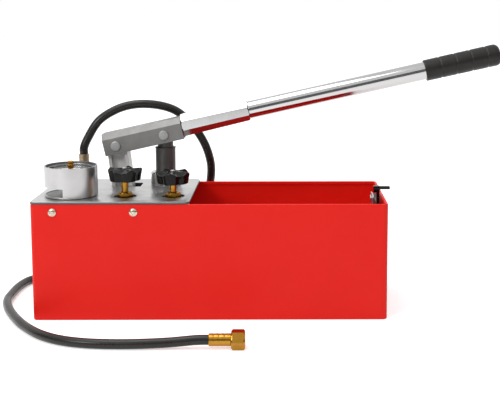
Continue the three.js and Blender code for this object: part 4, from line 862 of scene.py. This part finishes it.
low, high = levels("gauge_stem")
hex_bottom = guard_low + guard_wall + 0.3
hex_flats = 19
hex_corner = hex_flats / math.sqrt(3)
lathe("gauge_stem", "gauge_foot", [
    (6.2, low), (6.2, hex_bottom), (hex_corner - 1, hex_bottom), (hex_corner, hex_bottom + 0.8),
    (hex_corner, hex_bottom + 5.2), (hex_corner - 1, hex_bottom + 6), (6, hex_bottom + 6),
    (6, case_low - 0.3), (5, case_low - 0.3), (5, high),
], at_gauge, around=120, flats=hex_flats, ease=0.2, crease=25)

low, dial_top = levels("gauge_dial")
lathe("gauge_dial", "dial_plate", [(1.5, low), (28.3, low), (28.3, dial_top), (1.5, dial_top)],
      at_gauge, ease=0.1, closed=True)

# %% [markdown]
# The dial carries a scale from 0 to 60 over 270 degrees. Its marks are thin bars, all made at once by
# turning one bar to every angle, and its numbers are text made into a mesh. They stand a few hundredths
# of a millimetre proud, which is how thick print is.

# %% Dial marks
mark_count = 61
zero_angle, sweep = math.radians(225), math.radians(270)
mark = np.arange(mark_count)
mark_angle = zero_angle - sweep * mark / (mark_count - 1)
major = (mark % 10 == 0)
middle_mark = (mark % 5 == 0)
inner = np.where(major, 19.5, np.where(middle_mark, 21.0, 22.6))
half_width = np.where(major, 0.42, 0.2)
unit = np.array([(x, y, z) for x in (0, 1) for y in (-1, 1) for z in (0, 1)], float)
reach = inner[:, None] + (25.2 - inner[:, None]) * unit[None, :, 0]
aside = half_width[:, None] * unit[None, :, 1]
bars = np.stack([
    reach * np.cos(mark_angle)[:, None] - aside * np.sin(mark_angle)[:, None],
    reach * np.sin(mark_angle)[:, None] + aside * np.cos(mark_angle)[:, None],
    dial_top + 0.01 + 0.04 * np.repeat(unit[None, :, 2], mark_count, 0),
], -1) + (gauge[0], gauge[1], 0)
box_faces = np.array([(0, 1, 3, 2), (4, 6, 7, 5), (0, 4, 5, 1), (2, 3, 7, 6), (0, 2, 6, 4), (1, 5, 7, 3)])
mark_faces = (box_faces[None] + 8 * mark[:, None, None]).reshape(-1, 4)
mark_mesh = mesh_of("dial_marks", bars.reshape(-1, 3), mark_faces.tolist())
added(linked("dial_marks", mark_mesh), "base", "pointer_black")

# %% Dial numbers
def printed(name, words, size, x, y):
    """Text as a thin flat mesh on the dial, with its middle at x, y."""
    text = bpy.data.curves.new(name, "FONT")
    text.body = words
    text.size = size * MM
    text.align_x = "CENTER"
    text.align_y = "CENTER"
    text.extrude = 0.02 * MM
    piece = from_curve(name, text, UPWARD, (x, y, dial_top + 0.03))
    return added(piece, "base", "pointer_black")


for value in range(0, 61, 10):
    angle = zero_angle - sweep * value / 60
    printed(f"dial_number_{value}", str(value), 5.2, gauge[0] + 15.6 * math.cos(angle),
            gauge[1] + 15.6 * math.sin(angle))
printed("dial_unit", "bar", 4.0, gauge[0], gauge[1] - 9)

# %% Hands and the knurled knob
def hand_outline(length, tail, at_angle, half=1.2, hub=3.0):
    """A hand that tapers to a quarter of its width: tip, hub arc, tail and hub arc again."""
    start = math.asin(half / hub)
    over = np.linspace(start, math.pi - start, 24)
    under = np.linspace(math.pi + start, 2 * math.pi - start, 24)
    outline = np.vstack([
        [(length, -half / 4), (length, half / 4)],
        np.column_stack([hub * np.cos(over), hub * np.sin(over)]),
        [(-tail, half), (-tail, -half)],
        np.column_stack([hub * np.cos(under), hub * np.sin(under)]),
    ])
    c, s = math.cos(at_angle), math.sin(at_angle)
    return outline @ np.array([(c, s), (-s, c)])


hands = (("gauge_pointer", "black_hand", 225, 8), ("drag_pointer", "red_hand", 212, 4))
for node, name, angle, tail in hands:
    low, high = levels(node)
    outlines = [hand_outline(24, tail, math.radians(angle)), circle(0, 0, 1.5, 32)]
    fitted(cut_sheet(name, outlines, high - low, 0.12, place=(*gauge, low)), node)

low, knob_top = levels("drag_knob")
knurl_line = eased([
    (1.2, low), (1.2, glass_top + 0.3), (3.3, glass_top + 0.3), (4.0, glass_top + 1.0),
    (4.0, knob_top - 5.4), (3.3, knob_top - 5.0), (3.3, knob_top - 4.4), (4.0, knob_top - 4.0),
    (4.0, knob_top - 0.9), (3.2, knob_top), (1.0, knob_top),
], 0.2)
knurl = turned(knurl_line, 160)
knurl_angle = np.linspace(0, 2 * np.pi, 160, endpoint=False)
ribbed = np.clip((knurl_line[:, :1] - 3.3) / 0.5, 0, 1)
knurl[..., :2] *= (1 - 0.07 * ribbed * (0.5 + 0.5 * np.cos(20 * knurl_angle)))[..., None]
set_in("drag_knob", "reset_knob", knurl, at_gauge, crease=40)

# %% [markdown]
# ## Pump, outlet and linkage
#
# The round pieces are turned, as they are in the workshop. The cast and folded ones already have their
# right shape in the engineering model. They only lack eased edges, so a merged copy gets a Bevel, and
# the original stays as it was.

# %% Outlet fitting and delivery cap
low, high = levels("outlet_fitting")
fit_hex = plate_top + 0.3
lathe("outlet_fitting", "outlet_hexagon", [
    (6.8, low), (6.8, fit_hex), (hex_corner - 1, fit_hex), (hex_corner, fit_hex + 0.8),
    (hex_corner, fit_hex + 6.8), (hex_corner - 1.6, fit_hex + 8), (4.2, fit_hex + 8), (4.2, high),
], at_outlet, around=120, flats=hex_flats, ease=0.25, crease=25)

low, high = span("delivery_valve_cap")
cap_flats = 17
cap_corner = cap_flats / math.sqrt(3)
cap_length = high[0] - low[0]
cap_place = (low[0], right_valve[1], (low[2] + high[2]) / 2)
lathe("delivery_valve_cap", "delivery_cap", [
    (5.5, 0), (5.5, cap_length - 7), (cap_corner, cap_length - 7), (cap_corner, cap_length - 1.4),
    (cap_corner - 1.8, cap_length),
], cap_place, RIGHTWARD, 120, cap_flats, ease=0.25, crease=25)

# %% Cylinder, gland and plunger
low, high = levels("pump_cylinder")
block_top = 154.0
at_pump = (*pump, 0)
lathe("pump_cylinder", "pump_barrel", [
    (14.3, low), (19, low), (19, block_top - 4), (23, block_top - 4), (23, block_top),
    (16.7, block_top), (16.7, high), (14.3, high),
], at_pump, ease=0.4, closed=True)

low, high = levels("cylinder_gland")
gland_top = high + 1.5
inner_ledge = levels("gland_packing")[1] + 0.3
lathe("cylinder_gland", "packing_gland", [
    (17, low), (21.2, low), (21.2, gland_top - 1.6), (19.6, gland_top), (15, gland_top),
    (14.3, gland_top - 0.7), (14.3, inner_ledge), (17, inner_ledge),
], at_pump, around=128, ease=0.35, closed=True)

rod_low = levels("plunger")[0]
pivot_z = 230.3
shoulder_z = pivot_z - 18.8
ring_z = np.arange(rod_low + 1.6, shoulder_z - 1.2, 0.4)
rings = np.column_stack([13.95 + 0.1 * np.cos(2 * np.pi * ring_z / 1.9), ring_z])
rod_line = np.vstack([
    [(12.6, rod_low), (13.9, rod_low + 1.3)],
    rings,
    eased([(14, shoulder_z - 0.9), (14.7, shoulder_z - 0.7), (14.7, shoulder_z), (11, shoulder_z),
           (11, pivot_z)], 0.2),
    np.column_stack([np.linspace(10.9, 0.6, 14), np.full(14, pivot_z)]),
])
rod = turned(rod_line, 96)
crown = rod[-15:]
neck_radius = 11
rise = np.sqrt(np.maximum(neck_radius ** 2 - crown[..., 0] ** 2, 0))
crown[..., 2] = pivot_z + rise * np.linspace(0, 1, 15)[:, None] ** 0.35
set_in("plunger", "plunger_rod", rod, at_pump)

low, high = levels("suction_valve")
lathe("suction_valve", "foot_valve", [
    (4, low), (12, low), (12, low + 8), (18, low + 8), (18, high - 6), (14, high - 6), (14, high),
    (4, high), (4, high - 4), (7.5, high - 6), (7.5, low + 22), (4, low + 18),
], at_pump, ease=0.3, closed=True)

# %% Merged copies with eased edges
def eased_copy(node, name, width, segments=2, angle=40, material=None):
    """A merged copy of a CAD node in its place, with its edges eased by a width in mm."""
    piece = merged(name, frame["nodes"][node].data.copy())
    return bevelled(fitted(piece, node, material=material), width, segments, angle)


eased_copy("valve_block", "port_casting", 1.2, 3)
eased_copy("link_bracket", "link_hanger", 0.4)
cast_link = eased_copy("link", "cast_link", 0.7, 3)
eased_copy("lever_head", "cast_head", 0.9, 3)
eased_copy("catch_bracket", "catch_plates", 0.3)
catch_lever = eased_copy("catch_hook", "catch_lever", 0.6, material=finishes["dark_steel"])
catch_lever.data.materials.append(finishes["black_plastic"])
hook_faces = catch_lever.data.polygons
tab_start = 226
on_tab = rows_of(hook_faces, "center")[:, 0] > tab_start * MM
hook_faces.foreach_set("material_index", on_tab.astype(np.int32))
tab_cover = cut_sheet("catch_tab_cover", [rounded_box(217.4, -30.3, 225.9, -22.7, 0.8)], 8.5, 0.4,
                      place=(0, 0, 158.8))
added(tab_cover, body_of["catch_hook"], "black_plastic")
for node in ("link_foot_clip", "link_top_clip", "plunger_clip"):
    eased_copy(node, node.replace("clip", "spring_clip"), 0.15)

# %% Longer pockets in the link
link_lean = math.radians(7.07)
link_foot = np.array([-127, pump[1], 132])
link_points = rows_of(cast_link.data.vertices, "co")
link_axis = np.array([-math.sin(link_lean), 0, math.cos(link_lean)])
link_across = np.array([math.cos(link_lean), 0, math.sin(link_lean)])
from_foot = link_points / MM - link_foot
up_link, over_link = from_foot @ link_axis, from_foot @ link_across
pocket_end = (up_link > 60) & (up_link < 67) & (np.abs(over_link) < 10)
link_points[pocket_end] += (8 * MM * link_axis).astype(np.float32)
cast_link.data.vertices.foreach_set("co", link_points.ravel())
print("pocket points raised:", pocket_end.sum())

# %% [markdown]
# ## Lever
#
# The lever's own axes are tilted by 12.66 degrees about the plunger pin. Every piece on it is turned about
# a level axis first and then laid along that tilt. The socket is an octagon bar that tapers towards the
# tube, so its width across flats changes from row to row.

# %% Lever axes
lever_tilt = math.radians(12.66)
cos_tilt, sin_tilt = math.cos(lever_tilt), math.sin(lever_tilt)
lever_turn = np.array([[cos_tilt, 0, -sin_tilt], [0, 1, 0], [sin_tilt, 0, cos_tilt]])
pivot = np.array([pump[0], pump[1], pivot_z])
bar_turn = lever_turn @ RIGHTWARD
bar_place = pivot + lever_turn @ np.array([26.8, 0, 6.5])

# %% Pins with their heads
def headed_pin(radius, length):
    """Rows of a headed pin: its head is below 0, its shank above, with a groove for the clip near the end."""
    return eased([
        (5.6, -2.5), (6.75, -1.75), (6.75, 0), (radius, 0), (radius, length + 0.3),
        (radius - 1, length + 0.3), (radius - 1, length + 2.1), (radius, length + 2.1),
        (radius, length + 2.5), (radius - 0.5, length + 3),
    ], 0.4)


for node, radius, along in (("link_top_pin", 5, -68.5), ("plunger_pin", 5, 0)):
    low, high = span(node)
    pin = headed_pin(radius, 40.6)
    seat = pivot + lever_turn @ np.array([along, 0, 0])
    seat[1] = low[1] + 2.5
    lathe(node, node + "_turned", pin, seat, BACKWARD, 64, material=finishes["ground_pin"])
low, high = span("link_foot_pin")
foot_pin = headed_pin(4, high[1] - low[1] - 5.5)
lathe("link_foot_pin", "foot_pin_turned", foot_pin, (link_foot[0], low[1] + 2.5, link_foot[2]), BACKWARD, 64)

# %% Octagon socket
flats_left, flats_right, socket_length = 31.2, 27.4, 95.5
to_corner = 1 / math.cos(math.pi / 8)
socket_rows = np.array([
    (9, -9), (9, -0.1), (flats_left / 2 - 1.4, 0), (flats_left / 2 * to_corner - 0.9, 0.25),
    (flats_left / 2 * to_corner, 1.2), (flats_right / 2 * to_corner, socket_length - 1.2),
    (flats_right / 2 * to_corner - 0.9, socket_length - 0.25), (flats_right / 2 - 1.4, socket_length),
    (10.6, socket_length), (10.5, socket_length - 0.3), (10.5, 35.5),
])
share = np.clip(socket_rows[:, 1] / socket_length, 0, 1)
socket_flats = flats_left + (flats_right - flats_left) * share
lathe("lever_socket", "octagon_socket", socket_rows, bar_place, bar_turn, 128, socket_flats, 8, 0, crease=12)

# %% Tube and grip
tube_shows = socket_length + 0.3
tube_end = tube_shows + 347
lathe("lever_tube", "chrome_tube", [
    (10.2, 35.9), (10.2, tube_shows), (12.2, tube_shows), (12.5, tube_shows + 0.4), (12.5, tube_end),
    (10.5, tube_end),
], bar_place, bar_turn, 128, ease=0.3)

grip_end = tube_end + 12.5
grip_start = grip_end - 107
groove_at = grip_start + 22 * np.arange(1, 5)
along_grip = np.linspace(grip_start + 1.6, grip_end - 8, 170)
dips = np.exp(-(((along_grip[:, None] - groove_at) / 1.3) ** 4)).sum(1)
swell = 14.8 + 0.4 * (along_grip - grip_start) / 107
grip_side = np.column_stack([swell - 0.55 * dips, along_grip])
around_end = np.linspace(0, np.pi / 2, 12)[1:-1]
grip_dome = np.column_stack([
    7.2 + 8 * np.cos(around_end), grip_end - 8 + 8 * np.sin(around_end),
])
grip_profile = np.vstack([
    [(12.8, tube_end + 0.3), (12.8, grip_start + 0.4), (13.2, grip_start), (14.0, grip_start),
     (14.7, grip_start + 0.5)],
    grip_side, grip_dome, [(7.0, grip_end), (0.8, grip_end)],
])
lathe("grip", "rubber_grip", grip_profile, bar_place, bar_turn, 128, crease=45)
print("lever from", np.round(bar_place), "grip ends", np.round(bar_place + bar_turn @ (0, 0, grip_end)))

# %% Catch pin
low, high = span("catch_pin")
catch_length = high[0] - low[0]
lathe("catch_pin", "catch_pivot", [(4.4, 0), (5, 0.4), (5, 1.5), (3, 1.5), (3, catch_length)],
      (low[0], 20, 141), RIGHTWARD, 48, ease=0.3)

# %% [markdown]
# ## Nodes that keep their shape
#
# The rubber disc and packing, the gauge's movement, the ball and the strainer are hidden or already right.
# They keep the engineering model's shape and only get their finish.

# %% Finishes on the nodes that stay
kept = [name for name, node in frame["nodes"].items() if not node.hide_render]
for name in kept:
    for place_for in frame["nodes"][name].material_slots:
        place_for.link = "OBJECT"
        place_for.material = finishes[slot_of[name]]
print("kept nodes:", kept)

# %% [markdown]
# ## Studio
#
# The floor and the world are white to the camera, and metal and glass see them too. One lamp above and
# one in front on the left give soft shadows and a bright top side. Chrome looks like chrome only when it
# has something dark to reflect, so the studio has a plain grey wall behind the camera and one at each side.
# They are at the scale of a room, beyond every camera, and each view and each reflection sees them. A
# mirror image of a lamp adds to that of the white sky behind it, so the lamps are small beside the sky: the
# chrome shows them as narrow bright lines and stays grey between them.

# %% Floor and world
scene = bpy.context.scene
scene.view_settings.view_transform = "Standard"


def by_ray(tree, socket, lighting, seen):
    """The socket is at one level where it lights things and at another where it is seen or mirrored."""
    ray = add_node(tree, "LightPath", {}).outputs
    direct = ray["Is Camera Ray"]
    for label in ("Is Glossy Ray", "Is Transmission Ray"):
        direct = add_node(tree, "Math", {0: direct, 1: ray[label]}, operation="MAXIMUM").outputs[0]
    level = add_node(tree, "MapRange", {"Value": direct, "To Min": lighting, "To Max": seen})
    tree.links.new(level.outputs["Result"], socket)


def backdrop(name, corners, paint):
    """A plain flat piece of the studio from four corners in metres."""
    mesh = bpy.data.meshes.new(name)
    mesh.from_pydata(corners, [], [(0, 1, 2, 3)])
    mesh.materials.append(paint)
    return linked(name, mesh)


world = bpy.data.worlds.new("studio")
scene.world = world
world.use_nodes = True
sky = world.node_tree.nodes["Background"]
sky.inputs["Color"].default_value = (1, 1, 1, 1)
by_ray(world.node_tree, sky.inputs["Strength"], 0.95, 1.0)

paper, shader = blank("White paper", Base_Color=(0.82, 0.82, 0.82, 1), Roughness=0.9,
                      Specular_IOR_Level=0.1, Emission_Color=(1, 1, 1, 1))
by_ray(paper.node_tree, shader.inputs["Emission Strength"], 0.1, 0.5)
floor = backdrop("floor", [(-12, -12, 0), (12, -12, 0), (12, 12, 0), (-12, 12, 0)], paper)


# %% Lamps
def soft_lamp(name, place, aim, width, height, power):
    """A rectangular lamp at a place, turned so that it shines at the aim."""
    data = bpy.data.lights.new(name, "AREA")
    data.shape = "RECTANGLE"
    data.size, data.size_y = width, height
    data.energy = power
    lamp = linked(name, data)
    lamp.location = place
    lamp.rotation_euler = (Vector(aim) - Vector(place)).to_track_quat("-Z", "Y").to_euler()


soft_lamp("top_light", (-0.5, -0.1, 1.9), (0, 0, 0.1), 1.5, 0.9, 15)
soft_lamp("front_light", (-1.6, -2.0, 1.6), (0, 0, 0.12), 0.9, 0.6, 27)


# %% Studio walls
wall_paint = blank("Grey wall", Base_Color=(0.22, 0.22, 0.22, 1), Roughness=1, Specular_IOR_Level=0)[0]
wall_height = 2.4
for name, (x0, y0), (x1, y1) in (
    ("front_wall", (-4.0, -4.0), (4.0, -4.0)),
    ("left_wall", (-4.0, -4.0), (-4.0, 1.0)),
    ("right_wall", (4.0, -4.0), (4.0, 1.0)),
):
    corners = [(x0, y0, 0), (x1, y1, 0), (x1, y1, wall_height), (x0, y0, wall_height)]
    backdrop(name, corners, wall_paint)
print("stage pieces: floor and three walls")
